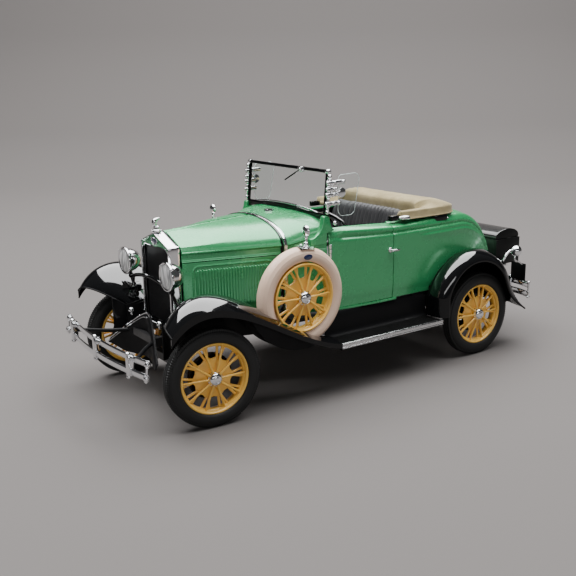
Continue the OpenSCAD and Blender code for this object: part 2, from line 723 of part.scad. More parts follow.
module steering_wheel() color("#131416") car()
  translate(wheel_centre) rotate([0, -atan2(0.8, 0.6), 0]) {
    rotate_extrude() translate([11.2, 0]) circle(r = 0.75, $fn = 24);
    translate([0, 0, -1.2]) cylinder(h = 1.8, r = 1.6);
    for (a = [90, 210, 330]) rotate([0, 0, a]) translate([1.2, 0, -0.4]) rotate([0, 90, 0]) cylinder(h = 9.4, r = 0.4);
  }

// ---- opening panels ----

module door(side) color("#3f9e68") car() mirrored(side) {
  stations = [door_rear + gap, 56, 64, 72, 77, door_front - gap];
  for (i = [0:len(stations) - 2]) hull() for (x = [stations[i], stations[i + 1]])
    block([x - 0.02, half_w(x) - skin, body_z + gap], [x + 0.02, half_w(x), belt_z]);
  // Hinge barrels with their straps
  for (z = [42, 59]) {
    translate([door_hinge[0], door_hinge[1], z]) cylinder(h = 4.6, r = 0.7);
    block([79.6, half_w(80) - 0.6, z + 0.6], [door_hinge[0], door_hinge[1] + 0.3, z + 4]);
  }
  // Lock handle
  bar([50, body_w - 0.2, 57], [50, body_w + 1.6, 57], 0.6);
  hull() {
    translate([50, body_w + 1.5, 57]) sphere(r = 0.6, $fn = 20);
    translate([45.4, body_w + 1.3, 57]) sphere(r = 0.5, $fn = 20);
  }
}

module door_left() { door(1); }
module door_right() { door(-1); }

module hood_shell() difference() {
  hood_block(hood_stations, 0, 36);
  hood_block([hood_front + 1, 134, 124, 114, hood_rear - 1], skin, 35);
}

module hood_top_half(side) color("#3f9e68") car() intersection() {
  hood_shell();
  mirrored(side) block([90, 1.1, seam_z + gap / 2], [160, 40, 90]);
}

module hood_side_half(side) color("#3f9e68") car() intersection() {
  hood_shell();
  // The rear edge leans forward, so that it clears the cowl as the panel lifts
  mirrored(side) along(1.1, 40) polygon([[hood_rear + 0.8, side_foot], [160, side_foot],
    [160, seam_z - gap / 2], [hood_rear, seam_z - gap / 2]]);
}

module hood_top_left() { hood_top_half(1); }
module hood_top_right() { hood_top_half(-1); }
module hood_side_left() { hood_side_half(1); }
module hood_side_right() { hood_side_half(-1); }

module rumble_lid() color("#3f9e68") car() intersection() {
  difference() {
    deck_block([8, 4, 0, -4, -8, -11, -13.5, -16, -18, -20], 0, 40);
    deck_block([9, 4, 0, -4, -8, -11, -13.5, -16, -18, -21], skin, 38);
  }
  block([lid_rear, -lid_w, 40], [lid_front, lid_w, 80]);
}

module wind_wing(side) color("#cfe3e0", 0.4) car() mirrored(side) {
  hull() {
    along(32.4, 0.5) translate([69, 79]) circle(r = 3, $fn = 32);
    along(32.4, 0.5) translate([68, 90]) circle(r = 3, $fn = 32);
    along(32.4, 0.5) polygon([[78, 76.4], [79, 76.4], [78.2, 92.6], [77.2, 92.6]]);
  }
  // Clamps that turn on the windshield post
  for (h = [9, 19.4]) translate(post_foot) rotate([0, -post_lean, 0]) translate([0, 0, h]) difference() {
    union() {
      cylinder(h = 1.4, r = 1.05);
      block([-5.6, 0.45, 0], [0, 1.0, 1.4]);
    }
    translate([0, 0, -1]) cylinder(h = 4, r = post_r + play);
  }
}

module wind_wing_left() { wind_wing(1); }
module wind_wing_right() { wind_wing(-1); }

chassis_frame();
floor_pan();
leaf_springs();
front_axle();
rear_axle_housing();
exhaust();
engine_block();
cylinder_head();
radiator_core();
radiator_shell();
radiator_cap();
cowl();
body_tub();
cowl_band();
dashboard();
steering_column();
seat_cushion();
seat_back();
soft_top();
windshield_frame();
windshield_glass();
front_fender_left();
front_fender_right();
rear_fender_left();
rear_fender_right();
running_boards();
board_trims();
front_bumper();
rear_bumpers();
headlight_bar();
headlight_shells();
headlight_lenses();
horn();
spare_covers();
spare_rims();
spare_mirrors();
tail_lamps();
luggage_rack();
trunk_body();
trunk_lid();
rear_shaft();
tyres_rear();
rims_rear();
knuckle_left();
tyre_front_left();
rim_front_left();
knuckle_right();
tyre_front_right();
rim_front_right();
tie_rod();
steering_wheel();
door_left();
door_right();
hood_top_left();
hood_side_left();
hood_top_right();
hood_side_right();
rumble_lid();
wind_wing_left();
wind_wing_right();
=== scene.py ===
"""Looks for the 1:18 roadster. Lengths in the builders are millimetres in the car frame:
x ahead of the rear axle, y to the car's left, z above the ground."""

import json
import math

import bmesh
import bpy
import numpy as np
from mathutils import Matrix, Vector


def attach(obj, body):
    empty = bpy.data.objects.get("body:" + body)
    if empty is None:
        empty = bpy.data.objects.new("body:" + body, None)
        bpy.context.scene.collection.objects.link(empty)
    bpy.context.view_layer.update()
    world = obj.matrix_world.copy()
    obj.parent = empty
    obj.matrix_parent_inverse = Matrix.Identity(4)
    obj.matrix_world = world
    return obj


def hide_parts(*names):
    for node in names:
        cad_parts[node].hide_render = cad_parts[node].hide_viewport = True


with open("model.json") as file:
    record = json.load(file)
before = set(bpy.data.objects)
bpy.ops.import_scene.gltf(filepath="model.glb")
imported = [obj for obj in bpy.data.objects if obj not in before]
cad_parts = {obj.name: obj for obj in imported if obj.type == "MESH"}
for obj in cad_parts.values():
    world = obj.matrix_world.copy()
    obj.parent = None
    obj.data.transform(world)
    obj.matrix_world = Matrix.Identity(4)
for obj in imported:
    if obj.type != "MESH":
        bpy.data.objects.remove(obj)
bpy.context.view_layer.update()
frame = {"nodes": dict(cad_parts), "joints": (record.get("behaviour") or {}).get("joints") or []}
nodes = frame["nodes"]
MM = 0.001
REAR_X = next(j for j in frame["joints"] if j["name"] == "rear_axle_spin")["pos_m"][0] / MM

# ---------------------------------------------------------------- materials


def node(tree, kind, **values):
    """Adds a shader node and sets its properties or, by name, its input sockets."""
    made = tree.nodes.new(kind)
    for key, value in values.items():
        name = key.replace("_", " ")
        if name in made.inputs:
            made.inputs[name].default_value = value
        else:
            setattr(made, key, value)
    return made


def object_point(tree, stretch=(1, 1, 1)):
    """Object coordinates in millimetres, stretched by a factor along each axis."""
    coords = node(tree, "ShaderNodeTexCoord")
    mapping = node(tree, "ShaderNodeMapping")
    mapping.inputs["Scale"].default_value = [s / MM for s in stretch]
    tree.links.new(coords.outputs["Object"], mapping.inputs["Vector"])
    return mapping.outputs["Vector"]


def noise(tree, point, size, detail=3.0, rough=0.55):
    """Noise whose features are about size millimetres across."""
    made = node(tree, "ShaderNodeTexNoise", Scale=1 / size, Detail=detail, Roughness=rough)
    tree.links.new(point, made.inputs["Vector"])
    return made.outputs["Fac"]


def ramp(tree, fac, low, high, value_low, value_high):
    """Maps fac from low..high to value_low..value_high, clamped."""
    made = node(tree, "ShaderNodeMapRange")
    for name, value in zip(("From Min", "From Max", "To Min", "To Max"), (low, high, value_low, value_high)):
        made.inputs[name].default_value = value
    tree.links.new(fac, made.inputs["Value"])
    return made.outputs["Result"]


def tint(tree, fac, dark, light):
    """Blends two colours by fac."""
    made = node(tree, "ShaderNodeMix", data_type="RGBA")
    made.inputs[6].default_value = (*dark, 1)
    made.inputs[7].default_value = (*light, 1)
    tree.links.new(fac, made.inputs[0])
    return made.outputs[2]


def bump(tree, height, depth, strength=1.0, below=None):
    """A bump of that depth in millimetres, on top of the bump below it."""
    made = node(tree, "ShaderNodeBump", Strength=strength, Distance=depth * MM)
    tree.links.new(height, made.inputs["Height"])
    if below is not None:
        tree.links.new(below, made.inputs["Normal"])
    return made.outputs["Normal"]


def principled(name, **values):
    """A material with one Principled shader whose fixed values sit on its own sockets."""
    material = bpy.data.materials.new(name)
    material.use_nodes = True
    shader = material.node_tree.nodes["Principled BSDF"]
    for key, value in values.items():
        label = key.replace("_", " ")
        shader.inputs[label].default_value = (*value, 1) if isinstance(value, tuple) else value
    return material, material.node_tree, shader


def finish_look(tree, shader, colour=None, rough=None, normal=None):
    if colour is not None:
        tree.links.new(colour, shader.inputs["Base Color"])
    if rough is not None:
        tree.links.new(rough, shader.inputs["Roughness"])
    if normal is not None:
        tree.links.new(normal, shader.inputs["Normal"])


def shade_sides_by_coat(tree, shader, low):
    """Clear coat that is full on upward faces and falls to low on the sides and below, as painted shade: it
    dims the reflections on the sides and undersides as if they stood in shade, while the real enamel is
    even.
    """
    place = node(tree, "ShaderNodeNewGeometry")
    split = node(tree, "ShaderNodeSeparateXYZ")
    tree.links.new(place.outputs["Normal"], split.inputs[0])
    weight = ramp(tree, split.outputs["Z"], 0.05, 0.5, low, 1.0)
    tree.links.new(weight, shader.inputs["Coat Weight"])


def paint(
    name, dark, light, rough, coat, peel=0.012, gloss=1.5, spec=0.5, low=None, tone=(1, 1, 1), ior=1.5
):
    """Sprayed enamel: slight mottle in colour and gloss, with fine orange peel.

    gloss is the clear coat's IOR, spec, tone and ior belong to the paint's own reflection,
    and low is the coat's weight on the sides and below, lowered there as painted shade.
    """
    material, tree, shader = principled(
        name, Coat_Weight=coat, Coat_Roughness=0.04, Coat_IOR=gloss,
        Specular_IOR_Level=spec, Specular_Tint=tone, IOR=ior
    )
    if low is not None:
        shade_sides_by_coat(tree, shader, low)
    point = object_point(tree)
    mottle = noise(tree, point, 14, 2)
    fine = noise(tree, point, 0.9, 2)
    finish_look(
        tree,
        shader,
        tint(tree, mottle, dark, light),
        ramp(tree, noise(tree, point, 5, 3), 0.3, 0.7, rough * 0.85, rough * 1.2),
        bump(tree, fine, peel),
    )
    return material


def metal(name, colour, low, high, scratch=0.004, stretch=(1, 1, 1)):
    """Plated or brushed metal: smudges in the gloss and hairline scratches."""
    material, tree, shader = principled(name, Metallic=1.0)
    point = object_point(tree)
    smudge = noise(tree, point, 4, 4)
    hair = noise(tree, object_point(tree, stretch), 0.35, 4, 0.7)
    dark = tuple(c * 0.86 for c in colour)
    finish_look(
        tree,
        shader,
        tint(tree, smudge, dark, colour),
        ramp(tree, smudge, 0.35, 0.7, low, high),
        bump(tree, hair, scratch),
    )
    return material


def grainy(name, dark, light, rough, size, depth, spec=0.5, sheen=0.0, mottle=9):
    """Moulded plastic, rubber or vinyl with a pebbled skin."""
    material, tree, shader = principled(name, Specular_IOR_Level=spec, Sheen_Weight=sheen)
    point = object_point(tree)
    cells = node(tree, "ShaderNodeTexVoronoi", Scale=1 / size)
    tree.links.new(point, cells.inputs["Vector"])
    patches = noise(tree, point, mottle, 4)
    finish_look(
        tree, shader, tint(tree, patches, dark, light),
        ramp(tree, patches, 0.3, 0.7, rough * 0.88, min(1, rough * 1.14)),
        bump(
            tree, cells.outputs["Distance"], depth,
            below=bump(tree, noise(tree, point, size * 3, 3), depth),
        ),
    )
    return material


def canvas(name, dark, light):
    """Fine woven roof cloth: two crossing threads, slubs and faint staining."""
    material, tree, shader = principled(
        name, Specular_IOR_Level=0.25, Sheen_Weight=0.25, Sheen_Roughness=0.5
    )
    threads = []
    for turn in ((0, 0, math.radians(3)), (0, 0, math.radians(93))):
        point = node(tree, "ShaderNodeMapping")
        point.inputs["Scale"].default_value = [1 / MM] * 3
        point.inputs["Rotation"].default_value = turn
        coords = node(tree, "ShaderNodeTexCoord")
        tree.links.new(coords.outputs["Object"], point.inputs["Vector"])
        wave = node(tree, "ShaderNodeTexWave", Scale=0.85, Distortion=0.5)
        tree.links.new(point.outputs["Vector"], wave.inputs["Vector"])
        threads.append(wave.outputs["Fac"])
    weave = node(tree, "ShaderNodeMath", operation="MULTIPLY")
    tree.links.new(threads[0], weave.inputs[0])
    tree.links.new(threads[1], weave.inputs[1])
    point = object_point(tree)
    stain = noise(tree, point, 6, 5)
    slub = noise(tree, object_point(tree, (0.25, 1, 1)), 0.5, 3)
    finish_look(
        tree,
        shader,
        tint(tree, ramp(tree, stain, 0.3, 0.7, 0, 1), dark, light),
        ramp(tree, slub, 0.3, 0.7, 0.82, 0.98),
        bump(tree, weave.outputs[0], 0.05, below=bump(tree, slub, 0.05)),
    )
    return material


def clear(name, colour, rough, haze):
    """Clear plastic sheet with the faintest haze in its gloss."""
    material, tree, shader = principled(name, Base_Color=colour, Transmission_Weight=1.0, IOR=1.05)
    smear = noise(tree, object_point(tree), 7, 4)
    finish_look(tree, shader, None, ramp(tree, smear, 0.35, 0.75, rough, haze))
    return material


def streaked_lens(name, dark, light):
    """Pressed lamp glass: upright light and dark streaks in its colour, a painted reflection of the bright
    reflector seen through the flutes.
    """
    material, tree, shader = principled(name, Transmission_Weight=0.1, IOR=1.5, Roughness=0.10)
    # Painted reflection: noise stretched upright tints the base colour between dark and light streaks.
    painted_streaks = noise(tree, object_point(tree, (1, 1, 0.12)), 1.1, 2)
    finish_look(tree, shader, tint(tree, ramp(tree, painted_streaks, 0.36, 0.6, 0, 1), dark, light))
    return material


MINT = (0.45, 1.0, 0.62)
GREEN = paint(
    "green_enamel", (0.028, 0.275, 0.094), (0.033, 0.290, 0.102), 0.26, 0.20, 0.0, spec=1.0, tone=MINT,
    ior=1.8,
)
# Painted shade: low weakens this enamel's coat on the sides and undersides.
BLACK = paint(
    "black_enamel", (0.0030, 0.0032, 0.0038), (0.0045, 0.0048, 0.0054), 0.10, 1.0, 0.0, 1.8, 0.2,
    low=0.12,
)
# A copy of the black enamel with its gloss cut, so the glossy black aprons, beads and boards that carry it
# show as painted shade without reflections.
SHADED_BLACK = paint("shaded_black", (0.003, 0.003, 0.0035), (0.005, 0.005, 0.0055), 0.5, 0.08, 0.0, 1.5, 0.12)
# Painted shade: low weakens this finish's coat on the sides and undersides.
TRUNK = paint(
    "black_satin", (0.004, 0.004, 0.004), (0.007, 0.007, 0.007), 0.38, 0.25, 0.01, 1.5, 0.2, low=0.04
)
FRAME = paint("chassis_black", (0.008, 0.008, 0.009), (0.014, 0.014, 0.014), 0.42, 0.2, 0.02)
CHROME = metal("chrome_plate", (0.90, 0.91, 0.93), 0.05, 0.14)
TRIM = metal("bright_trim", (0.78, 0.79, 0.80), 0.18, 0.34, 0.01, (0.1, 1, 1))
STEEL = metal("axle_steel", (0.50, 0.51, 0.52), 0.30, 0.48, 0.02, (1, 0.1, 1))
PIPE = metal("exhaust_metal", (0.42, 0.41, 0.39), 0.38, 0.60, 0.02, (0.1, 1, 1))
DIAL = metal("instrument_face", (0.62, 0.62, 0.60), 0.22, 0.40, 0.01)
MIRROR = metal("mirror_face", (0.93, 0.94, 0.95), 0.02, 0.05, 0.0)
YELLOW = paint("wheel_enamel", (0.86, 0.500, 0.085), (0.93, 0.560, 0.110), 0.32, 0.45, 0.008)
ENGINE = paint("engine_enamel", (0.020, 0.055, 0.036), (0.034, 0.080, 0.052), 0.46, 0.15, 0.04)
TYRE = grainy("tyre_rubber", (0.0085, 0.0088, 0.0088), (0.0150, 0.0153, 0.0153), 0.56, 0.35, 0.010, 0.35)
MAT = grainy("board_rubber", (0.0025, 0.0025, 0.0025), (0.006, 0.006, 0.006), 0.60, 0.4, 0.02, 0.15)
MESH = grainy("radiator_mesh", (0.006, 0.006, 0.007), (0.012, 0.012, 0.014), 0.42, 0.30, 0.03)
VINYL = grainy("seat_vinyl", (0.020, 0.020, 0.022), (0.036, 0.036, 0.039), 0.44, 0.30, 0.015, 0.45, 0.05)
COVER = grainy("cover_vinyl", (0.760, 0.530, 0.395), (0.850, 0.640, 0.500), 0.36, 0.45, 0.008, 0.45, 0.05)
CANVAS = canvas("top_canvas", (0.310, 0.250, 0.125), (0.440, 0.365, 0.200))
GLASS = clear("clear_sheet", (0.95, 0.985, 0.975), 0.0, 0.03)
EDGE = principled("sheet_edge", Base_Color=(0.72, 0.82, 0.80), Roughness=0.25, Alpha=1.0)[0]
NAVY = paint("badge_navy", (0.006, 0.012, 0.060), (0.010, 0.020, 0.085), 0.25, 0.8)
LENS = streaked_lens("lens_glass", (0.30, 0.31, 0.32), (1.0, 1.0, 1.0))
LAMP = paint("tail_lens", (0.16, 0.004, 0.003), (0.26, 0.008, 0.006), 0.18, 1.0)

CAD_FINISH = {
    "frame_black": FRAME,
    "axle_steel": STEEL,
    "exhaust_steel": PIPE,
    "engine_paint": ENGINE,
    "body_green": GREEN,
    "fender_black": BLACK,
    "gloss_black": BLACK,
    "trunk_black": TRUNK,
    "chrome": CHROME,
    "bright_trim": TRIM,
    "grille_black": MESH,
    "instrument_metal": DIAL,
    "seat_vinyl": VINYL,
    "top_fabric": CANVAS,
    "clear_glass": GLASS,
    "lamp_glass": LENS,
    "cover_vinyl": COVER,
    "wheel_yellow": YELLOW,
    "tyre_rubber": TYRE,
    "board_rubber": MAT,
}

# ---------------------------------------------------------------- mesh builders


def unit(v):
    v = np.asarray(v, float)
    return v / max(1e-12, np.linalg.norm(v))


def frame_for(axis):
    """Two unit vectors across an axis."""
    axis = unit(axis)
    helper = np.array([0, 0, 1.0]) if abs(axis[2]) < 0.9 else np.array([1.0, 0, 0])
    side = unit(np.cross(helper, axis))
    return side, np.cross(axis, side)


def in_plan(u, v, w):
    """Places an outline of (x, y) points at height w."""
    return (u, v, w)


def in_profile(u, v, w):
    """Places an outline of (x, z) points at w across the car."""
    return (u, w, v)


def from_front(u, v, w):
    """Places an outline of (y, z) points at w along the car."""
    return (w, u, v)


def hand(side):
    return "left" if side > 0 else "right"


def turns(n):
    """n angles spread evenly over a full turn."""
    return [2 * math.pi * k / n for k in range(n)]


def ellipse(u, v, half_u, half_v, n):
    """An ellipse outline about (u, v)."""
    return [(u + half_u * math.cos(a), v + half_v * math.sin(a)) for a in turns(n)]


def both_sides(x, half):
    """A section at x across the car, from its left half as (y, z) points up to the middle."""
    return [(x, y, z) for y, z in half] + [(x, -y, z) for y, z in half[-2::-1]]


class Piece:
    """Collects faces in millimetres, then becomes one object riding on a body."""

    def __init__(self, name):
        self.name = name
        self.verts = []
        self.faces = []

    def add(self, verts, faces):
        base = len(self.verts)
        self.verts.extend([tuple(map(float, v)) for v in verts])
        self.faces.extend([tuple(base + i for i in f) for f in faces])
        return self

    def grid(self, rows, wrap_u=False, wrap_v=False, keep=None, flip=False):
        """Quads over rows of points; keep(i, j) leaves a quad out where it is false."""
        rows = np.asarray(rows, float)
        n, m = rows.shape[:2]
        faces = []
        for i in range(n if wrap_u else n - 1):
            for j in range(m if wrap_v else m - 1):
                if keep is None or keep(i, j):
                    a, b = (i + 1) % n, (j + 1) % m
                    quad = (i * m + j, i * m + b, a * m + b, a * m + j)
                    faces.append(quad[::-1] if flip else quad)
        return self.add(rows.reshape(-1, 3), faces)

    def spin(self, profile, centre, axis, steps, closed):
        side, up = frame_for(axis)
        axis, centre = unit(axis), np.asarray(centre, float)
        rows = []
        for a in turns(steps):
            out = math.cos(a) * side + math.sin(a) * up
            rows.append([centre + r * out + h * axis for r, h in profile])
        return self.grid(rows, wrap_u=True, wrap_v=closed, flip=True)

    def revolve(self, profile, centre, axis, steps=48):
        """Turns (radius, height) points about an axis; ends on the axis close."""
        return self.spin([(max(r, 1e-4), h) for r, h in profile], centre, axis, steps, False)

    def ring(self, profile, centre, axis, steps=64):
        """Turns a closed (radius, height) outline about an axis."""
        return self.spin(profile, centre, axis, steps, True)

    def sweep(self, path, section, closed=False, up=None):
        """Moves a section of (side, up) points along a path; its ends are capped."""
        path = [np.asarray(p, float) for p in path]
        n = len(path)
        rows = []
        last = None
        for i, p in enumerate(path):
            after = path[(i + 1) % n] if closed or i < n - 1 else p
            before = path[i - 1] if closed or i > 0 else p
            along = unit(after - before)
            if up is not None:
                side = unit(np.cross(up, along))
            elif last is None:
                side = frame_for(along)[0]
            else:
                side = unit(last - np.dot(last, along) * along)
            last = side
            top = np.cross(along, side)
            shape = section(i / max(1, n - 1)) if callable(section) else section
            rows.append([p + a * side + b * top for a, b in shape])
        self.grid(rows, wrap_u=closed, wrap_v=True)
        return self if closed else self.cap_ends(n, len(rows[0]))

    def cap_ends(self, n, count):
        """Closes both ends of the last n rows of count points."""
        base = len(self.verts) - n * count
        self.faces.append(tuple(base + j for j in range(count))[::-1])
        self.faces.append(tuple(base + (n - 1) * count + j for j in range(count)))
        return self

    def tube(self, path, radius, sides=14, closed=False):
        radii = radius if callable(radius) else lambda t: radius
        circle = ellipse(0, 0, 1, 1, sides)
        return self.sweep(path, lambda t: [(radii(t) * a, radii(t) * b) for a, b in circle], closed)

    def rod(self, a, b, radius, sides=14):
        return self.tube([a, b], radius, sides)

    def prism(self, outline, place, low, high):
        """Extrudes a flat outline; place(u, v, w) gives the point at depth w."""
        n = len(outline)
        verts = [place(u, v, low) for u, v in outline] + [place(u, v, high) for u, v in outline]
        sides = [(i, (i + 1) % n, n + (i + 1) % n, n + i) for i in range(n)]
        return self.add(verts, [tuple(range(n))[::-1], tuple(range(n, 2 * n)), *sides])

    def box(self, lo, hi):
        (x0, y0, z0), (x1, y1, z1) = lo, hi
        return self.prism([(x0, y0), (x1, y0), (x1, y1), (x0, y1)], in_plan, z0, z1)

    def ball(self, centre, radius, axis=(0, 0, 1), flat=1.0, steps=24):
        half = steps // 2
        arc = [(-math.pi / 2 + math.pi * k / half) for k in range(half + 1)]
        return self.revolve(
            [(radius * math.cos(a), radius * flat * math.sin(a)) for a in arc], centre, axis, steps
        )

    def mirror(self):
        """Adds the same faces on the other side of the car."""
        n = len(self.verts)
        self.verts.extend([(x, -y, z) for x, y, z in self.verts])
        self.faces.extend([tuple(n + i for i in f)[::-1] for f in self.faces])
        return self

    def join(self, other):
        return self.add(other.verts, other.faces)

    def to_side(self, side):
        if side < 0:
            self.verts = [(x, -y, z) for x, y, z in self.verts]
            self.faces = [f[::-1] for f in self.faces]
        return self

    def move(self, matrix):
        """Carries the piece by a 4x4 matrix whose lengths are millimetres."""
        m = np.array(matrix, float)
        v = np.array(self.verts, float)
        self.verts = [tuple(p) for p in v @ m[:3, :3].T + m[:3, 3]]
        return self

    def done(
        self, body, slot, material, replaces=(), bevel=0.0, segments=2,
        wall=0.0, inside=None, lining=None, angle=35, weld=1e-3, subdivide=0, cut=None,
    ):
        """Makes the object. wall thickens an open sheet towards inside, and bevel rounds its sharp edges."""
        mesh = bpy.data.meshes.new(self.name)
        verts = np.array(self.verts, float) + [REAR_X, 0, 0]
        mesh.from_pydata((verts * MM).tolist(), [], self.faces)
        made = bpy.data.objects.new(self.name, mesh)
        bpy.context.scene.collection.objects.link(made)
        made.data.materials.append(material)
        work = bmesh.new()
        work.from_mesh(mesh)
        bmesh.ops.remove_doubles(work, verts=work.verts, dist=weld * MM)
        bmesh.ops.dissolve_degenerate(work, edges=work.edges, dist=weld * MM * 0.1)
        if wall:
            centre = Vector(((inside[0] + REAR_X) * MM, inside[1] * MM, inside[2] * MM))
            facing = sum(f.calc_area() * f.normal.dot(f.calc_center_median() - centre) for f in work.faces)
            if facing < 0:
                bmesh.ops.reverse_faces(work, faces=work.faces)
        else:
            bmesh.ops.recalc_face_normals(work, faces=work.faces)
        work.to_mesh(mesh)
        work.free()
        if wall:
            thick = made.modifiers.new("wall", "SOLIDIFY")
            thick.thickness = wall * MM
            thick.offset = -1
            if lining:
                made.data.materials.append(lining)
                thick.material_offset = 1
        if cut:
            hole = made.modifiers.new("cut", "BOOLEAN")
            hole.operation = "DIFFERENCE"
            hole.object = cut
        if bevel:
            edge = made.modifiers.new("bevel", "BEVEL")
            edge.width = bevel * MM
            edge.segments = segments
            edge.limit_method = "ANGLE"
            edge.angle_limit = math.radians(angle)
        if subdivide:
            made.modifiers.new("smooth", "SUBSURF").levels = subdivide
        apply_modifiers(made)
        made.data.polygons.foreach_set("use_smooth", [True] * len(made.data.polygons))
        made.data.set_sharp_from_angle(angle=math.radians(angle))
        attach(made, body)
        if replaces:
            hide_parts(*replaces)
        return made


def apply_modifiers(made):
    """Bakes the modifiers into the mesh."""
    if not made.modifiers:
        return
    graph = bpy.context.evaluated_depsgraph_get()
    baked = bpy.data.meshes.new_from_object(made.evaluated_get(graph))
    made.modifiers.clear()
    made.data = baked


def lerp(a, b, t):
    return a + (b - a) * t


def bez(p, t):
    """A point on a cubic curve with four control points."""
    p = np.asarray(p, float)
    return (1 - t) ** 3 * p[0] + 3 * t * (1 - t) ** 2 * p[1] + 3 * t * t * (1 - t) * p[2] + t**3 * p[3]


def spline_point(a, b, c, d, t):
    """A point between b and c on a smooth line through a, b, c and d."""
    return 0.5 * (2 * b + (c - a) * t + (2 * a - 5 * b + 4 * c - d) * t * t + (3 * b - a - 3 * c + d) * t**3)


def curve(points, steps=12):
    """A smooth line through the points."""
    pts = [np.asarray(p, float) for p in points]
    pts = [2 * pts[0] - pts[1], *pts, 2 * pts[-1] - pts[-2]]
    out = []
    for i in range(1, len(pts) - 2):
        a, b, c, d = pts[i - 1 : i + 3]
        out.extend([spline_point(a, b, c, d, k / steps) for k in range(steps)])
    out.append(pts[-2])
    return out


def hump(x, centre, width):
    return math.exp(-(((x - centre) / width) ** 2))


def step(x, low, high):
    """0 below low, 1 above high and smooth between."""
    t = min(1.0, max(0.0, (x - low) / (high - low)))
    return t * t * (3 - 2 * t)


def rounded(w, h, r, steps=5):
    """A rectangle of half sizes w and h with rounded corners."""
    out = []
    for cx, cy, start in ((w - r, h - r, 0), (r - w, h - r, 90), (r - w, r - h, 180), (w - r, r - h, 270)):
        for k in range(steps + 1):
            a = math.radians(start + 90 * k / steps)
            out.append((cx + r * math.cos(a), cy + r * math.sin(a)))
    return out


# ---------------------------------------------------------------- body shapes

FRONT_X = 146.0
TRACK_Y = 39.5
KINGPIN_Y = 33.0
AXLE_Z = 20.1
BODY_Z = 34.6
SEAM_Z = 60.8
GAP = 0.35
HOOD = (103.6, 144.2)
COWL = (83.7, 102.6)
LID = (-18.0, 4.0, 21.0)
TAIL_X = -24.0


def half_w(x):
    """Half width of the hood, cowl and body at x."""
    if x > 84:
        return 31.3 - 0.287 * (x - 84)
    if x > 50:
        return 34 - 2.7 * ((x - 50) / 34) ** 2
    return 34.0 if x > 28 else 34 - 7 * ((28 - x) / 52) ** 2


def hood_top(x):
    return 72.6 + 0.055 * (144.2 - x) if x > 102.6 else 74.9 + 0.04 * (102.6 - x)


def ellipse_z(x, start, reach, rise):
    """Height of a quarter ellipse that drops from rise above the body's foot at start."""
    return 34 + rise * math.sqrt(max(0.004, 1 - ((start - x) / reach) ** 2)) if x < start else 34 + rise


def deck_top(x):
    return 70.2 + 0.09 * (x - 46) if x > 46 else ellipse_z(x, 6, 30.5, 36.2)


def side_crease(x):
    return max(BODY_Z + 0.3, ellipse_z(x, 5, 28.2, 27))


def section(w, shoulder, top, fullness, angles):
    """Points (y, z) of the upper body at the given angles, 0 on the side and 90 on the centre line."""
    k = 2 / fullness
    out = []
    for a in angles:
        c, s = math.cos(math.radians(a)), math.sin(math.radians(a))
        out.append((w * max(c, 0) ** k, shoulder + (top - shoulder) * max(s, 0) ** k))
    return out


def push_out(points, amount):
    """Moves each point of a (y, z) line along its outward normal by amount(i)."""
    pts = np.array(points, float)
    along = np.gradient(pts, axis=0)
    length = np.maximum(np.linalg.norm(along, axis=1, keepdims=True), 1e-9)
    normal = np.stack([along[:, 1], -along[:, 0]], axis=1) / length
    return pts + normal * np.array([amount(i) for i in range(len(pts))])[:, None]


def crease_height(x):
    """The bead along the hood, which climbs along the cowl to the door's belt."""
    return 64.7 if x > 102.6 else 64.7 + 2.6 * step(102.6 - x, 0, 15)


def hood_relief(x, z):
    """Bead, shadow line and hollow band beside the hood's side crease."""
    rim = crease_height(x)
    hollow = step(z, 60.9, 62.2) * (1 - step(z, rim - 1.4, rim - 0.3))
    return 0.26 * hump(z, rim + 0.1, 0.42) - 0.22 * hump(z, rim - 0.75, 0.3) - 0.34 * hollow


def hood_line(x, angles, fullness=2.0):
    """The hood's or cowl's section from the crease up to the given angles."""
    rim = crease_height(x)
    top = hood_top(x)
    gable = step(x, 116, 144)
    shoulder = (half_w(x) - 0.8, rim + 2.6)
    line = []
    for a, (y, z) in zip(angles, section(half_w(x), rim, top, fullness, angles)):
        s = a / 90
        low, high = min(1, s / 0.3), max(0, (s - 0.3) / 0.7)
        straight = (lerp(half_w(x), shoulder[0], low), lerp(rim, shoulder[1], low))
        if s > 0.3:
            straight = (lerp(shoulder[0], 0, high), lerp(shoulder[1], top, high))
        line.append((lerp(y, straight[0], gable), lerp(z, straight[1], gable)))
    return push_out(line, lambda i: hood_relief(x, line[i][1]))


def angles_to(limit, count=34, power=1.7):
    return [limit * (k / count) ** power for k in range(count + 1)]


def hood_top_panel(side):
    low = SEAM_Z + GAP / 2
    rows = []
    for x in np.linspace(HOOD[1], HOOD[0], 46):
        limit = math.degrees(math.acos(1.1 / half_w(x)))
        zs = np.linspace(low, crease_height(x), 22)[:-1]
        skirt = [(half_w(x) + hood_relief(x, z), z) for z in zs]
        rows.append([(x, y, z) for y, z in [*skirt, *hood_line(x, angles_to(limit))]])
    name = hand(side)
    piece = Piece(f"hood_top_panel_{name}").grid(rows)
    piece.to_side(side)
    knuckles = Piece(f"hood_hinge_knuckles_{name}")
    for k in range(9):
        x0 = HOOD[0] + 0.8 + 4.5 * k
        z0 = hood_top(x0) - 0.75
        knuckles.rod((x0, 1.12, z0), (x0 + 4.38, 1.12, z0 - 0.2), 0.42)
    knuckles.to_side(side).done(f"hood_top_{name}", "body_green", GREEN, (), 0.08)
    piece.done(f"hood_top_{name}", "body_green", GREEN, [f"hood_top_{name}"], 0.12, 2, 0.9, (124, 0, 50))


LOUVERS = 26
LOUVER_X = (108.2, 139.0)
LOUVER_Z = (41.2, 57.7)
FIELD = (107.2, 140.1, 40.0, 59.0)


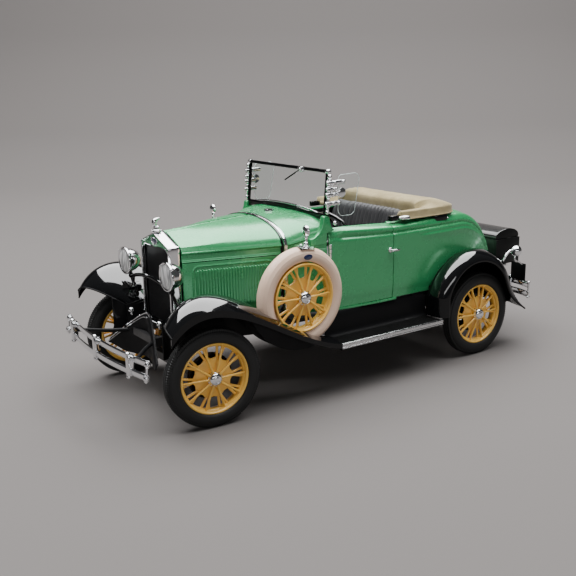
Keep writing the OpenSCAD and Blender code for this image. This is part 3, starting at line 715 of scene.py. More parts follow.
def louver(x, z):
    """Height of the pressed louvers and of the raised frame round them."""
    pitch = (LOUVER_X[1] - LOUVER_X[0]) / LOUVERS
    x0, x1, _, z1 = FIELD
    corner = 2.4
    dx = max(x0 + corner - x, x - (x1 - corner), 0)
    dz = max(z - (z1 - corner), 0)
    edge = math.hypot(dx, dz) - corner
    frame_run = 0.30 * hump(edge, 0, 0.30)
    if edge < -0.2:
        frame_run -= 0.16
    s = (x - LOUVER_X[0]) / pitch
    if not 0 <= s < LOUVERS:
        return frame_run
    t = s % 1.0
    rise = step(t, 0.0, 0.22) * (1 - 0.62 * step(t, 0.30, 0.98))
    half = 0.5 * pitch
    rounding = abs(t - 0.45) * pitch / half
    top = LOUVER_Z[1] - 0.55 * rounding**2
    cap = 1 - step(z, top - 0.55, top)
    return frame_run + 0.85 * rise * cap * step(z, LOUVER_Z[0], LOUVER_Z[0] + 0.6)


def hood_side_panel(side):
    top, foot = SEAM_Z - GAP / 2, 37.5
    zs = [*np.linspace(top, 59.6, 6)[:-1], *np.linspace(59.6, 56.4, 26)[:-1], *np.linspace(56.4, foot, 30)]
    pitch = (LOUVER_X[1] - LOUVER_X[0]) / LOUVERS
    xs = [
        *np.linspace(HOOD[0], 106.6, 6)[:-1], *np.arange(106.6, 140.9, pitch / 9),
        *np.linspace(141, HOOD[1], 8),
    ]
    rows = []
    for z in zs:
        lean = 0.8 * (top - z) / (top - foot)
        tuck = 0.6 * (1 - step(z, 36, 43))
        rows.append([])
        for x in xs:
            at = x + lean * (1 - step(x, HOOD[0], 107))
            rows[-1].append((at, half_w(at) - tuck + louver(at, z), z))
    name = hand(side)
    piece = Piece(f"hood_side_panel_{name}").grid(rows).to_side(side)
    piece.done(f"hood_side_{name}", "body_green", GREEN, [f"hood_side_{name}"], 0.1, 2, 0.8, (124, 0, 50))


def cowl_panel():
    rows = []
    for x in np.linspace(COWL[1], COWL[0], 40):
        full = 2.0 + 1.3 * step(102.6 - x, 2, 19)
        rim = crease_height(x)
        foot = [(half_w(x) - 0.6 * (1 - step(z, 34, 41)), z) for z in np.linspace(34.2, 60.5, 12)]
        side = [(half_w(x) + hood_relief(x, z), z) for z in np.linspace(60.8, rim, 24)[:-1]]
        half = [*foot, *side, *hood_line(x, angles_to(90, 40), full)]
        half[-1] = (0.0, half[-1][1])
        rows.append(both_sides(x, half))
    Piece("cowl_panel").grid(rows).done(
        "car_body", "body_green", GREEN, ["cowl"], 0.12, 2, 1.0, (93, 0, 50), VINYL
    )
    rod = Piece("hood_centre_hinge")
    rod.rod((102.7, 0, hood_top(102.6) - 0.75), (144.6, 0, hood_top(144.2) - 0.75), 0.45, 16)
    rod.ball((102.9, 0, hood_top(102.6) - 0.7), 0.75)
    rod.done("car_body", "body_green", GREEN)


def cowl_band():
    """The black strip behind the hood and the bright moulding behind it."""
    ring = [*[(half_w(103.0), z) for z in np.linspace(36, 64.2, 16)], *hood_line(103.0, angles_to(90, 40))]
    strip = Piece("cowl_band_strip").sweep(
        both_sides(102.98, ring), rounded(0.34, 0.38, 0.16, 3), up=(1, 0, 0)
    )
    strip.done("car_body", "gloss_black", BLACK, ["cowl_band"])
    ring = [*[(half_w(101.6), z) for z in np.linspace(37, 64.4, 16)], *hood_line(101.6, angles_to(90, 40))]
    bright = Piece("cowl_band_moulding")
    bright.sweep(both_sides(101.6, ring), rounded(0.20, 0.78, 0.16, 3), up=(1, 0, 0))
    bright.done("car_body", "chrome", CHROME)


def scuttle_line(x, top, half):
    """A line along the foot of the windshield that drops towards the pillars."""
    return [(x, y, top - 2.4 * (abs(y) / 29) ** 2.6) for y in np.linspace(-half, half, 41)]


def pillars():
    """The flared corners that climb from the cowl to the windshield."""
    line = [
        (92.6, 66.8), (90.4, 67.4), (88.6, 68.6), (87.0, 70.8), (86.1, 73.2), (85.7, 75.6), (84.6, 76.0),
        (83.6, 75.7), (82.7, 75.2), (82.4, 73.0), (81.9, 71.2), (80.7, 69.9), (80.4, 69.45),
        (84.2, 68.4), (84.2, 64), (92.6, 64),
    ]
    piece = Piece("windshield_pillars")
    piece.prism(line, lambda u, v, w: (u, w + 0.10 * (84 - u) * (u < 84) + 0.02 * (76 - v), v), 29.3, 31.9)
    piece.mirror().done("car_body", "body_green", GREEN, (), 0.45, 3)
    base = Piece("windshield_seal")
    base.sweep(scuttle_line(84.1, 76.75, 30.4), rounded(0.5, 0.85, 0.35, 4), up=(0, 0, 1))
    base.done("car_body", "gloss_black", BLACK)
    strip = Piece("windshield_base_strip")
    strip.sweep(scuttle_line(83.75, 78.0, 29.2), rounded(0.42, 0.42, 0.25, 4), up=(0, 0, 1))
    strip.done("car_body", "chrome", CHROME)


# ---------------------------------------------------------------- rear body, lid and doors


def belt_relief(x, s):
    """Outward relief at share s of the way from the side crease to the deck's centre height."""
    ahead = 1 - step(x, 75.5, 79)
    molding = 0.62 * ahead * hump(s, 0.60 + 0.14 * (1 - step(x, 14, 40)), 0.10)
    groove = -0.85 * hump(s, 0.40, 0.075) * (1 - 0.3 * step(-x, 14, 22)) * (0.25 + 0.75 * ahead)
    ridge = 0.42 * hump(s, 0.02, 0.07) * (1 - step(x, 24, 34))
    return molding + groove + ridge - 0.16 * hump(s, 0.80, 0.05)


def body_line(x, angles):
    """The body's section above the side crease, with belt molding and groove."""
    crease, top = side_crease(x), deck_top(x)
    line = section(half_w(x), crease, top, 4, angles)
    return push_out(line, lambda i: belt_relief(x, (line[i][1] - crease) / (top - crease)))


SIDE_STEPS = 16


def side_line(x, foot):
    """The flat side from its rolled foot up to the crease."""
    crease = side_crease(x)
    out = []
    for k in range(SIDE_STEPS):
        z = lerp(foot, crease, k / SIDE_STEPS)
        roll = 0.30 * hump(z, foot + 0.55, 0.4) - 0.25 * hump(z, foot + 1.7, 0.5)
        belly = 0.22 * (1 - step(x, 24, 34)) * hump(z, crease, 1.1)
        tuck = -0.55 * (1 - step(z, foot - 2, foot + 7))
        out.append((half_w(x) + roll * step(crease, foot + 3, foot + 8) + belly + tuck, z))
    return out


def angle_at(x, y):
    """The section angle at which the body is y from the centre line."""
    return math.degrees(math.acos(min(1.0, (y / half_w(x)) ** 2)))


def fine_angles(limit, steps=46):
    """Angles up to limit, spaced evenly in height so that the relief stays crisp."""
    top = math.sin(math.radians(limit)) ** 0.5
    return [math.degrees(math.asin((top * k / steps) ** 2)) for k in range(1, steps + 1)]


def body_rows(xs, inner_y, foot):
    rows = []
    for x in xs:
        angles = [0.0, *fine_angles(angle_at(x, inner_y(x)))]
        rows.append([(x, y, z) for y, z in [*side_line(x, foot), *body_line(x, angles)]])
    return rows


def rear_body():
    """Quarters, deck round the lid and tail, as one sheet on each side of the centre line."""
    low_lid, high_lid, lid_w = LID[0] - GAP, LID[1] + GAP, LID[2] + GAP
    tail = [6 - 30.2 * math.sin(a) for a in np.radians(np.linspace(0, 82, 30))]
    ahead = [47.98, *np.linspace(46, 12, 26), *np.linspace(11, 6.5, 5)]
    xs = sorted({*ahead, *tail, low_lid, high_lid}, reverse=True)
    belt_steps, shoulder_steps = 40, 9
    rows = []
    for x in xs:
        belt = angle_at(x, 28.0 if half_w(x) > 28.3 else half_w(x) * 0.9)
        shoulder = angle_at(x, lid_w)
        first = [0.0, *fine_angles(belt, belt_steps)]
        rest = [*np.linspace(belt, shoulder, shoulder_steps + 1)[1:], *np.linspace(shoulder, 90.0, 20)[1:]]
        line = [*side_line(x, BODY_Z), *body_line(x, [*first, *rest])]
        line[-1] = (0.0, line[-1][1])
        rows.append([(x, y, z) for y, z in line])
    last_outer = SIDE_STEPS + belt_steps
    last_shoulder = last_outer + shoulder_steps

    def keep(i, j):
        middle = (xs[i] + xs[i + 1]) / 2
        if middle > 12:
            return j < last_outer
        return j < last_shoulder or not low_lid < middle < high_lid

    piece = Piece("rear_body_panel").grid(rows, keep=keep)
    # The tail closes down to the sill
    last = rows[-1]
    piece.grid([last, [(TAIL_X - 0.45, y * 0.985, lerp(BODY_Z, z, 0.9)) for _, y, z in last],
                [(TAIL_X - 0.6, y * 0.9, BODY_Z) for _, y, z in last]])
    piece.mirror()
    piece.done("car_body", "body_green", GREEN, ["body_tub"], 0.14, 2, 1.0, (20, 0, 50), VINYL, weld=0.004)
    sill = Piece("body_sills")
    for a, b in ((46, 58), (58, 70), (70, 83.6)):
        sill.prism([(a, half_w(a) - 2), (b, half_w(b) - 2), (b, half_w(b)), (a, half_w(a))],
                   in_plan, BODY_Z - 1.1, BODY_Z - 0.05)
    sill.box((83.9, 28.2, BODY_Z), (85.4, 29.2, 66))
    sill.mirror().done("car_body", "body_green", GREEN, (), 0.2)


def rumble_lid():
    rows = []
    for x in [*np.linspace(LID[1], -10, 24), *np.linspace(-10.6, LID[0], 16)]:
        start = angle_at(x, LID[2])
        half = body_line(x, np.linspace(start, 90, 26))
        half[-1][0] = 0.0
        rows.append(both_sides(x, half))
    Piece("rumble_lid_panel").grid(rows).done(
        "rumble_lid", "body_green", GREEN, ["rumble_lid"], 0.25, 3, 1.0, (-5, 0, 40), VINYL
    )
    z = deck_top(-14.6)
    handle = Piece("rumble_lid_handle").ball((-14.6, 0, z - 0.1), 0.9, (-0.5, 0, 1), 0.6)
    handle.rod((-14.6, 0, z), (-15.3, 0, z + 1.1), 0.4, 12)
    handle.tube(
        [(-15.3, -1.9, z + 1.1), (-15.3, 1.9, z + 1.1)], lambda t: 0.34 + 0.12 * math.cos(6.28 * t) ** 2,
        12,
    )
    handle.done("rumble_lid", "chrome", CHROME)


def rumble_well():
    """The trimmed well under the rumble lid, open at the top."""
    back, front, side = LID[0] - 1.2, LID[1] + 1.2, 21.9
    rim = [(back, y) for y in np.linspace(0, side, 10)]
    rim += [(x, side) for x in np.linspace(back, front, 20)[1:]]
    rim += [(front, y) for y in np.linspace(side, 0, 10)[1:]]
    rows = []
    for x, y in rim:
        top = body_line(x, [angle_at(x, max(y, 2.0)), 90.0])[0][1] - 1.3
        rows.append(
            [(x, y, top), (x, y, lerp(36.4, top, 0.5)), (x, y, 36.4), (x, y * 0.97, 35.8), (x, 0, 35.7)]
        )
    well = Piece("rumble_well_trim").grid(rows).mirror()
    well.done("car_body", "seat_vinyl", VINYL, (), 0, 2, 0.4, (-7, 0, 45))


DOOR = (48.35, 82.65)


def door(side):
    name = hand(side)
    foot = BODY_Z + GAP
    xs = np.linspace(DOOR[1], DOOR[0], 60)
    rows = body_rows(xs, lambda x: 29.4, foot)
    rows = [[*row, *[(row[-1][0], 28.9, row[-1][2] - drop) for drop in (0.5, 2.2)]] for row in rows]
    piece = Piece(f"door_panel_{name}").grid(rows).to_side(side)
    piece.done(f"door_{name}", "body_green", GREEN, [f"door_{name}"], 0.14, 2, 0.9, (65, 0, 50), VINYL)
    card = Piece(f"door_card_{name}")
    card_rows = []
    for x in np.linspace(50, 81, 42):
        line = []
        for z in np.linspace(37, 66.5, 44):
            tuft = 0.35 * abs(math.sin(math.pi * (x - 50) / 5.2)) ** 0.5
            swell = tuft * step(z, 38, 40) * (1 - step(z, 55, 57))
            line.append((x, half_w(x) - 1.5 - swell, z))
        card_rows.append(line)
    card.grid(card_rows).to_side(side)
    card.done(f"door_{name}", "seat_vinyl", VINYL, (), 0, 1, 0.4, (65, 80 * side, 50))
    chrome = Piece(f"door_handle_{name}")
    face = half_w(50) - 0.05
    chrome.revolve(
        [(0, 0.75), (0.7, 0.7), (1.15, 0.45), (1.3, 0.1), (1.3, -0.1), (0, -0.1)], (50, face, 57),
        (0, 1, 0), 28,
    )
    chrome.rod((50, face, 57), (50, face + 1.5, 57), 0.55, 16)
    chrome.ball((50, face + 1.55, 57), 0.72, (0, 1, 0))
    grip = curve(
        [
            (50.3, face + 1.5, 57.05), (48.6, face + 1.75, 57), (46.8, face + 1.7, 56.95),
            (45.5, face + 1.4, 56.9),
        ],
        7,
    )
    chrome.tube(grip, lambda t: 0.36 + 0.22 * math.sin(math.pi * min(1, t * 1.05)) ** 0.6, 16)
    for z in (40, 57.6):
        for k in range(3):
            z0 = z + 2.05 * k
            barrel = [(0, 0), (0.5, 0.02), (0.62, 0.14), (0.62, 1.82), (0.5, 1.95), (0, 1.98)]
            chrome.revolve(barrel, (83.0, 32.7, z0), (0, 0, 1), 20)
        chrome.rod((81.9, 32.3, z + 3), (83.0, 32.6, z + 3), 0.42, 12)
    chrome.to_side(side).done(f"door_{name}", "chrome", CHROME, (), 0.08)
    latch = Piece(f"door_latch_{name}").box((48.5, 31.6, 55.6), (49.4, 32.4, 58.2))
    latch.rod((52, half_w(52) - 2.1, 59), (55.5, half_w(55) - 2.6, 58.6), 0.34, 12)
    latch.to_side(side).done(f"door_{name}", "bright_trim", TRIM, (), 0.1)


for side in (1, -1):
    hood_top_panel(side)
    hood_side_panel(side)
    door(side)
cowl_panel()
cowl_band()
pillars()
rear_body()
rumble_lid()
rumble_well()

# ---------------------------------------------------------------- fenders and boards

FENDER_Y = 46.5
SPARE = (102.9, 38.0, 45.2)
WELL_R = 21.4
WELL_HALF = 3.9
INNER = ([[153, 22, 36.5], [150, 17.2, 38.5], [140, 17, 40], [130, 20.4, 39.6]],
         [[130, 20.4, 39.6], [118, 23.6, 38.6], [106, 27, 30], [87.4, 34.6, 24.2]])
CROWN = ([[164.2, 35.5, 43.4], [161, 35.5, 50], [153, 35, 53.6], [145, 35.4, 52.6]],
         [[145, 35.4, 52.6], [126, 36.4, 50], [113, 38, 31.6], [87.4, 39.4, 24.8]])
OUTER = ([[166.6, 45.9, 41], [163, FENDER_Y, 46], [157, FENDER_Y, 49.4], [149, FENDER_Y, 49]],
         [[149, FENDER_Y, 49], [129, FENDER_Y, 47.4], [112, FENDER_Y, 29.4], [87.4, FENDER_Y, 23.4]])


def two_arcs(arcs, t):
    return bez(arcs[0], t / 0.4) if t < 0.4 else bez(arcs[1], (t - 0.4) / 0.6)


def fender_point(t, u):
    i, c, o = (two_arcs(arcs, t) for arcs in (INNER, CROWN, OUTER))
    k = 2 * c - (i + o) / 2
    return (1 - u) ** 2 * i + 2 * u * (1 - u) * k + u * u * o


def cylinder_cutter(centre, axis, radius, low, high, steps=128):
    """A hidden solid used to cut an opening."""
    tool = Piece("cutter").revolve([(0, low), (radius, low), (radius, high), (0, high)], centre, axis, steps)
    mesh = bpy.data.meshes.new("cutter")
    verts = np.array(tool.verts, float) + [REAR_X, 0, 0]
    mesh.from_pydata((verts * MM).tolist(), [], tool.faces)
    made = bpy.data.objects.new("cutter", mesh)
    bpy.context.scene.collection.objects.link(made)
    work = bmesh.new()
    work.from_mesh(mesh)
    bmesh.ops.remove_doubles(work, verts=work.verts, dist=1e-6)
    bmesh.ops.recalc_face_normals(work, faces=work.faces)
    work.to_mesh(mesh)
    work.free()
    return made


def lip_drop(t):
    """Height of the front fender's turned-down edge."""
    return 3.4 - 1.4 * t


def lip_fade(t):
    """Share of the rear fender's edge that is left towards its tail."""
    return 1 - 0.75 * step(t, 0.84, 1)


def front_fender(side):
    name = hand(side)
    rows = []
    for t in np.linspace(0, 1, 84):
        row = [fender_point(t, u) for u in np.linspace(0, 1, 34)]
        edge = row[-1]
        lip = [edge + (0.0, 0, -lip_drop(t) * k / 5) for k in range(1, 6)]
        rows.append([*row, *lip])
    piece = Piece(f"front_fender_{name}").grid(rows).to_side(side)
    cutter = cylinder_cutter((SPARE[0], SPARE[1] * side, SPARE[2]), (0, 1, 0), WELL_R, -WELL_HALF, WELL_HALF)
    piece.done(
        "car_body", "fender_black", BLACK, [f"front_fender_{name}"], 0, 2, 0.8, (146, 30 * side, 20),
        cut=cutter,
    )
    pan_x, pan_z, pan_r = 104.5, 51.5, 27.5
    angles = np.radians(np.linspace(-104.5, -20.9, 60))
    pan = [(pan_x + pan_r * math.cos(a), pan_z + pan_r * math.sin(a)) for a in angles]
    pan += [(119.3, 37.2), (108.8, 29.4)]
    well = Piece(f"front_fender_well_{name}").prism(pan, in_profile, 33.4, 42.8).to_side(side)
    well.done("car_body", "fender_black", SHADED_BLACK, (), 0, cut=cutter)
    bpy.data.objects.remove(cutter)
    bead = Piece(f"front_fender_bead_{name}")
    path = [fender_point(t, 1) + (0, -0.42, -lip_drop(t) * 0.93) for t in np.linspace(0, 1, 70)]
    bead.tube(path, 0.36, 12)
    nose = [fender_point(0, u) + (-0.15, 0, 0.1) for u in np.linspace(0, 1, 30)]
    bead.tube(nose, lambda t: 0.34, 10)
    bead.to_side(side).done("car_body", "fender_black", SHADED_BLACK)


def rear_root(t):
    """The rear fender's line beside the body."""
    if t < 0.12:
        return np.array([lerp(28.6, 28.1, t / 0.12), lerp(23.6, 32.4, t / 0.12)])
    if t < 0.75:
        a = math.radians(14 + (t - 0.12) / 0.63 * 136)
        return np.array([-1 + 29.4 * math.cos(a), 27 + 24.2 * math.sin(a)])
    return bez([[-26.5, 39.1], [-28.4, 35], [-29.6, 26], [-32, 19.6]], (t - 0.75) / 0.25)


def rear_edge(t):
    """The rear fender's line round the outside of the wheel."""
    if t < 0.12:
        return np.array([28.6, lerp(23.6, 33, t / 0.12)])
    if t < 0.75:
        a = math.radians(14 + (t - 0.12) / 0.63 * 136)
        return np.array([4.6 + 24.7 * math.cos(a), 27 + 24.7 * math.sin(a)])
    return bez([[-16.8, 39.4], [-19.6, 33.6], [-23, 24], [-29.6, 19.6]], (t - 0.75) / 0.25)


def rear_path(t, y):
    k = min(1, max(0, (y - 33.9) / 9.7))
    return lerp(rear_root(t), rear_edge(t), k * (2 - k))


def rear_normal(t, y):
    d = rear_path(min(1, t + 0.02), y) - rear_path(max(0, t - 0.02), y)
    return unit((d[1], -d[0]))


def rear_point(t, y, out):
    """A point at y, that far outside the rear fender's line."""
    p, n = rear_path(t, y), rear_normal(t, y)
    return (p[0] + n[0] * out, y, p[1] + n[1] * out)


def rear_fender(side):
    name = hand(side)
    cross = curve(
        [
            (33.4, -1.6), (34.6, -0.5), (37.4, 0.45), (40.5, 0.62), (43.4, -0.05), (45.4, -1.5),
            (46.45, -3.6), (46.5, -4.6),
        ],
        5,
    )
    rows = []
    for t in np.linspace(0, 1, 110):
        rows.append([rear_point(t, c[0], c[1] * lip_fade(t)) for c in cross])
    # Painted shade: the band beside the body is split off in the dull black so the fender's inner slope
    # shows dark, while the rest of the fender keeps its gloss.
    root = sum(1 for c in cross if c[0] < 37.3)
    band = Piece(f"rear_fender_shaded_root_{name}").grid([row[:root + 1] for row in rows]).to_side(side)
    band.done("car_body", "fender_black", SHADED_BLACK, (), 0, 2, 0.8, (4, 38 * side, 22))
    piece = Piece(f"rear_fender_{name}").grid([row[root:] for row in rows]).to_side(side)
    piece.done("car_body", "fender_black", BLACK, [f"rear_fender_{name}"], 0, 2, 0.8, (4, 38 * side, 22))
    bead = Piece(f"rear_fender_bead_{name}")
    edge = [rear_point(t, FENDER_Y - 0.42, -4.5 * lip_fade(t)) for t in np.linspace(0, 1, 90)]
    bead.tube(edge, 0.34, 12)
    bead.to_side(side).done("car_body", "fender_black", SHADED_BLACK)


def running_boards():
    board = Piece("running_board_steps")
    lines = [(34.4, 22.0), (34.9, 23.0), (45.2, 23.0), (45.6, 22.6), (45.6, 20.4), (34.4, 20.4)]
    board.prism(lines, from_front, 27.8, 87.2)
    rows = []
    for x in np.linspace(27.8, 87.2, 50):
        line = [(32.4, 33.5), (32.9, 33.4), (33.5, 31.5), (34.0, 27.5), (34.6, 24.4), (35.6, 23.1)]
        rows.append([(x, y, z) for y, z in curve(line, 5)])
    board.mirror().done("car_body", "board_rubber", SHADED_BLACK, ["running_boards"], 0.1)
    shields = Piece("running_board_aprons").grid(rows)
    shields.grid([[(x, y - 0.5, z - 0.3) for x, y, z in row] for row in rows])
    shields.mirror().done("car_body", "fender_black", SHADED_BLACK)
    mat = Piece("running_board_mats")
    mat.box((29.2, 35.9, 22.9), (85.8, 45.0, 23.15))
    rib = [(-0.11, 0), (-0.07, 0.2), (0.07, 0.2), (0.11, 0)]
    for y in np.linspace(36.2, 44.7, 24):
        mat.prism([(y + u, 23.12 + v) for u, v in rib], from_front, 29.6, 85.4)
    mat.mirror().done("car_body", "board_rubber", MAT)
    trim = Piece("running_board_trims")
    face = [
        (45.6, 20.9), (46.1, 20.9), (46.3, 21.15), (46.3, 21.5), (46.1, 21.7), (46.1, 22.4),
        (46.3, 22.65), (46.3, 23.1), (46.1, 23.4), (45.2, 23.45), (45.2, 23.2), (45.6, 23.15),
    ]
    trim.prism(face, from_front, 28, 87)
    trim.mirror().done("car_body", "bright_trim", TRIM, ["board_trims"], 0.06)


def front_aprons():
    """Valances between the fenders and the frame, dark sheets standing in for the shade under the front
    fenders, and the arched apron between the frame horns.
    """
    # Painted shade: the valances fill the dark space under the fenders, where the axle and frame lie in
    # shade.
    tops = [(159.6, 24.2, 41.0), (158.0, 24.0, 40.4), (156.0, 23.2, 39.2), (154.4, 22.6, 37.6)]
    tops += [tuple(fender_point(t, 0.03)) for t in np.linspace(0.01, 0.97, 56)]
    rows = []
    for x, y, z in tops:
        hem = 25.6 + 2.8 * step(150 - x, 0, 20)
        rows.append([(x, y, lerp(z, hem, k / 8)) for k in range(9)])
    shade_valance = Piece("front_shade_valances").grid(rows).mirror()
    shade_valance.done("car_body", "fender_black", SHADED_BLACK, (), 0, 2, 0.5, (146, 0, 30))
    rows, lower = [], []
    for y in np.linspace(-23, 23, 60):
        reach = math.sqrt(y * y + 16) - 4
        x, z = 154.4 + 0.40 * reach, 38.6 - 0.76 * reach
        hem = min(z - 2, 19.5 + 2.4 * step(abs(y), 12, 23))
        rows.append(
            [
                (x - 0.6, y, z + 0.1), (x, y, z), (x + 0.7, y, z - 1.3),
                *[(x + 1.0, y, lerp(z - 2, hem, k / 5)) for k in range(6)],
            ]
        )
        lower.append((x + 1.0, y, z - 1.5))
    apron = Piece("front_splash_apron").grid(rows)
    apron.done("car_body", "fender_black", SHADED_BLACK, (), 0, 2, 0.4, (150, 0, 25))
    beads = Piece("front_apron_beads")
    beads.tube([row[1] for row in rows if row[1][1] < 4], 0.36, 10)
    beads.tube([p for p in lower if p[1] < 2], 0.2, 10)
    beads.done("car_body", "chrome", CHROME)
    roll = Piece("front_apron_rolled_edge")
    roll.tube([row[1] for row in rows if row[1][1] > 3.4], 0.3, 10)
    roll.done("car_body", "fender_black", SHADED_BLACK)
    bolts = Piece("front_apron_bolts")
    for y in (-13.5, 13.5):
        bolts.ball((155.6, y, 37.3), 1.15)
        bolts.rod((155.4, y, 35.2), (155.6, y, 37.2), 0.5)
    bolts.done("car_body", "chrome", CHROME)


def rear_wheel_houses():
    """Flat walls that close the space between the body and the rear fenders."""
    outline = [tuple(rear_point(t, 33.5, -0.9)[::2]) for t in np.linspace(0.1, 1.0, 70)]
    outline += [(-24, 19.8), (-21, 24.6), (24, 24.6), (27.6, 28)]
    house = Piece("rear_wheel_houses").prism(outline, in_profile, 33.0, 33.5)
    house.mirror().done("car_body", "fender_black", SHADED_BLACK)


for side in (1, -1):
    front_fender(side)
    rear_fender(side)
running_boards()
front_aprons()
rear_wheel_houses()

# ---------------------------------------------------------------- wheels


def wheel_matrix(x, side, steer=0.0):
    """From wheel space, whose +Z points outwards, to the car."""
    turn = Matrix.Rotation(math.radians(-90 * side), 4, "X")
    if steer:
        kingpin = Matrix.Translation((x, KINGPIN_Y * side, AXLE_Z))
        steered = kingpin @ Matrix.Rotation(math.radians(steer), 4, "Z")
        return steered @ Matrix.Translation((0, (TRACK_Y - KINGPIN_Y) * side, 0)) @ turn
    return Matrix.Translation((x, TRACK_Y * side, AXLE_Z)) @ turn


def tyre_mesh(piece):
    """Round section with a flat tread, moulded sidewall rings and shoulder blocks."""
    profile = []
    for k in range(41):
        a = math.radians(-128 + 256 * k / 40)
        r, h = 16.7 + 3.4 * math.cos(a), 3.4 * math.sin(a)
        if abs(h) < 2.3 and r > 16.7:
            r = 20.1 - 0.12 * (abs(h) / 2.3) ** 2
        for ring_r, high in ((18.75, 0.16), (18.1, 0.10), (15.4, 0.14)):
            bulge = high * hump(r, ring_r, 0.22)
            r, h = r + bulge * math.cos(a), h + bulge * math.sin(a)
        profile.append((r, h))
    profile = [(14.5, profile[0][1] * 0.9), *profile, (14.5, profile[-1][1] * 0.9)]
    rows = []
    for i, a in enumerate(turns(384)):
        gap_here = (i % 3) == 0
        row = []
        for r, h in profile:
            shoulder = 1.45 < abs(h) < 2.75 and r > 19.0
            centre = 0.62 < abs(h) < 0.95 and r > 19.6
            cut = 0.42 if shoulder and gap_here else 0.22 if centre else 0.0
            row.append(((r - cut) * math.cos(a), (r - cut) * math.sin(a), h))
        rows.append(row)
    return piece.grid(rows, wrap_u=True, wrap_v=True)


SPOKES = 10


def rim_mesh(piece, hub=True):
    """Stepped drop-centre rim, long spokes in front and short paired ones behind a flange.

    hub gives it the sleeve that runs on an axle; a spare has none.
    """
    outline = [
        (14.0, 2.75), (14.45, 2.6), (14.5, 2.2), (13.95, 1.9), (13.85, 1.5),
        (13.85, -1.5), (13.95, -1.9), (14.5, -2.2), (14.45, -2.6), (13.7, -2.7), (13.2, -2.3),
        (13.1, -1.2), (12.75, -0.9), (12.75, 0.7), (13.0, 1.15), (13.35, 1.35), (13.4, 2.0), (13.65, 2.45),
    ]
    piece.ring(outline, (0, 0, 0), (0, 0, 1), 96)
    for a in turns(SPOKES):
        c, s = math.cos(a), math.sin(a)

        def at(r, across, h, c=c, s=s):
            return (r * c - across * s, r * s + across * c, h)

        piece.tube([at(2.2, 0, 2.5), at(7, 0, 2.05), at(13.3, 0, 1.35)], lambda t: 0.52 - 0.08 * t, 12)
        for lean in (-1, 1):
            foot, head = at(7.6, lean * 0.35, 0.1), at(13.1, lean * 1.75, 0.05)
            piece.tube([foot, head], 0.55, 10)
    scallop = []
    for a in turns(120):
        edge = 8.3 + 0.4 * math.cos(SPOKES * a)
        scallop.append(
            [
                (r * math.cos(a), r * math.sin(a), h)
                for r, h in (
                    (2.4, 1.0), (4.4, 0.75), (edge - 0.5, 0.42), (edge, 0.2), (edge, -0.25),
                    (edge - 0.5, -0.4), (2.4, -0.1),
                )
            ]
        )
    piece.grid(scallop, wrap_u=True, wrap_v=True)
    sleeve = [(2.9, 0.6), (2.9, -3.0), (3.4, -3.3), (0, -3.3)] if hub else [(3.1, -2.9), (0, -3.2)]
    barrel = [(0, 2.9), (2.6, 2.9), (3.0, 2.5), (3.1, 1.9), *sleeve]
    return piece.revolve(barrel, (0, 0, 0), (0, 0, 1), 56)


def cap_mesh(piece):
    """Domed hub cap with a plain pressed ring."""
    profile = [
        (0, 4.3), (0.9, 4.27), (1.25, 4.12), (1.4, 4.18), (1.9, 4.02), (2.4, 3.62),
        (2.72, 3.1), (2.78, 2.7), (3.05, 2.62), (3.05, 2.3), (0, 2.3),
    ]
    return piece.revolve(profile, (0, 0, 0), (0, 0, 1), 48)


def drum_mesh(piece):
    """Brake drum with a raised rim and cooling ribs."""
    profile = [
        (3.0, -2.3), (7.4, -2.3), (8.2, -2.0), (9.1, -2.1), (9.3, -2.4), (9.1, -2.7),
        (9.3, -2.95), (9.1, -3.2), (9.3, -3.45), (9.0, -3.6), (3.0, -3.6),
    ]
    return piece.ring(profile, (0, 0, 0), (0, 0, 1), 72)


def valve(piece):
    return piece.tube([(12.9, 0.9, 0.2), (11.6, 0.95, 1.5), (11.0, 0.95, 1.9)], lambda t: 0.3 - 0.08 * t, 10)


def wheel_set(name, body, places, tyre_node, rim_node):
    for kind, build, slot_name, look, gone, round_off in (
        ("tyre", tyre_mesh, "tyre_rubber", TYRE, tyre_node, 0.0),
        ("rim", rim_mesh, "wheel_yellow", YELLOW, rim_node, 0.05),
        ("hub_cap", cap_mesh, "chrome", CHROME, None, 0.0),
        ("valve", valve, "bright_trim", TRIM, None, 0.0),
        ("drum", drum_mesh, "gloss_black", BLACK, None, 0.0),
    ):
        whole = Piece(f"{name}_{kind}")
        for matrix in places:
            whole.join(build(Piece("part")).move(matrix))
        whole.done(body, slot_name, look, [gone] if gone else (), round_off, 2, angle=40)


STEER_REST = -5
wheel_set("rear_wheels", "rear_axle", [wheel_matrix(0, 1), wheel_matrix(0, -1)], "tyres_rear", "rims_rear")
wheel_set(
    "front_wheel_left", "wheel_front_left", [wheel_matrix(FRONT_X, 1, STEER_REST)], "tyre_front_left",
    "rim_front_left",
)
wheel_set(
    "front_wheel_right", "wheel_front_right", [wheel_matrix(FRONT_X, -1, STEER_REST)],
    "tyre_front_right", "rim_front_right",
)

# ---------------------------------------------------------------- spare wheels and mirrors


def spare_matrix(side):
    hub = Matrix.Translation((SPARE[0], SPARE[1] * side, SPARE[2]))
    return hub @ Matrix.Rotation(math.radians(-90 * side), 4, "X")


def cover_mesh(piece):
    """Moulded tyre cover: round section, flat tread band and raised rings on its face."""
    profile = []
    for k in range(61):
        a = math.radians(-112 + 224 * k / 60)
        r, h = 17.5 + 3.4 * math.cos(a), 3.42 * math.sin(a)
        for ring_r, high in ((19.9, 0.08), (18.6, 0.08)):
            bulge = high * hump(r, ring_r, 0.16)
            r, h = r + bulge * math.cos(a), h + bulge * math.sin(a)
        profile.append((r, h))
    front = [(15.5, 2.9), (15.05, 2.6), (14.95, 2.1)]
    back = [(14.95, -2.1), (15.05, -2.6), (15.5, -2.9)]
    return piece.ring([*back, *profile, *front], (0, 0, 0), (0, 0, 1), 144)


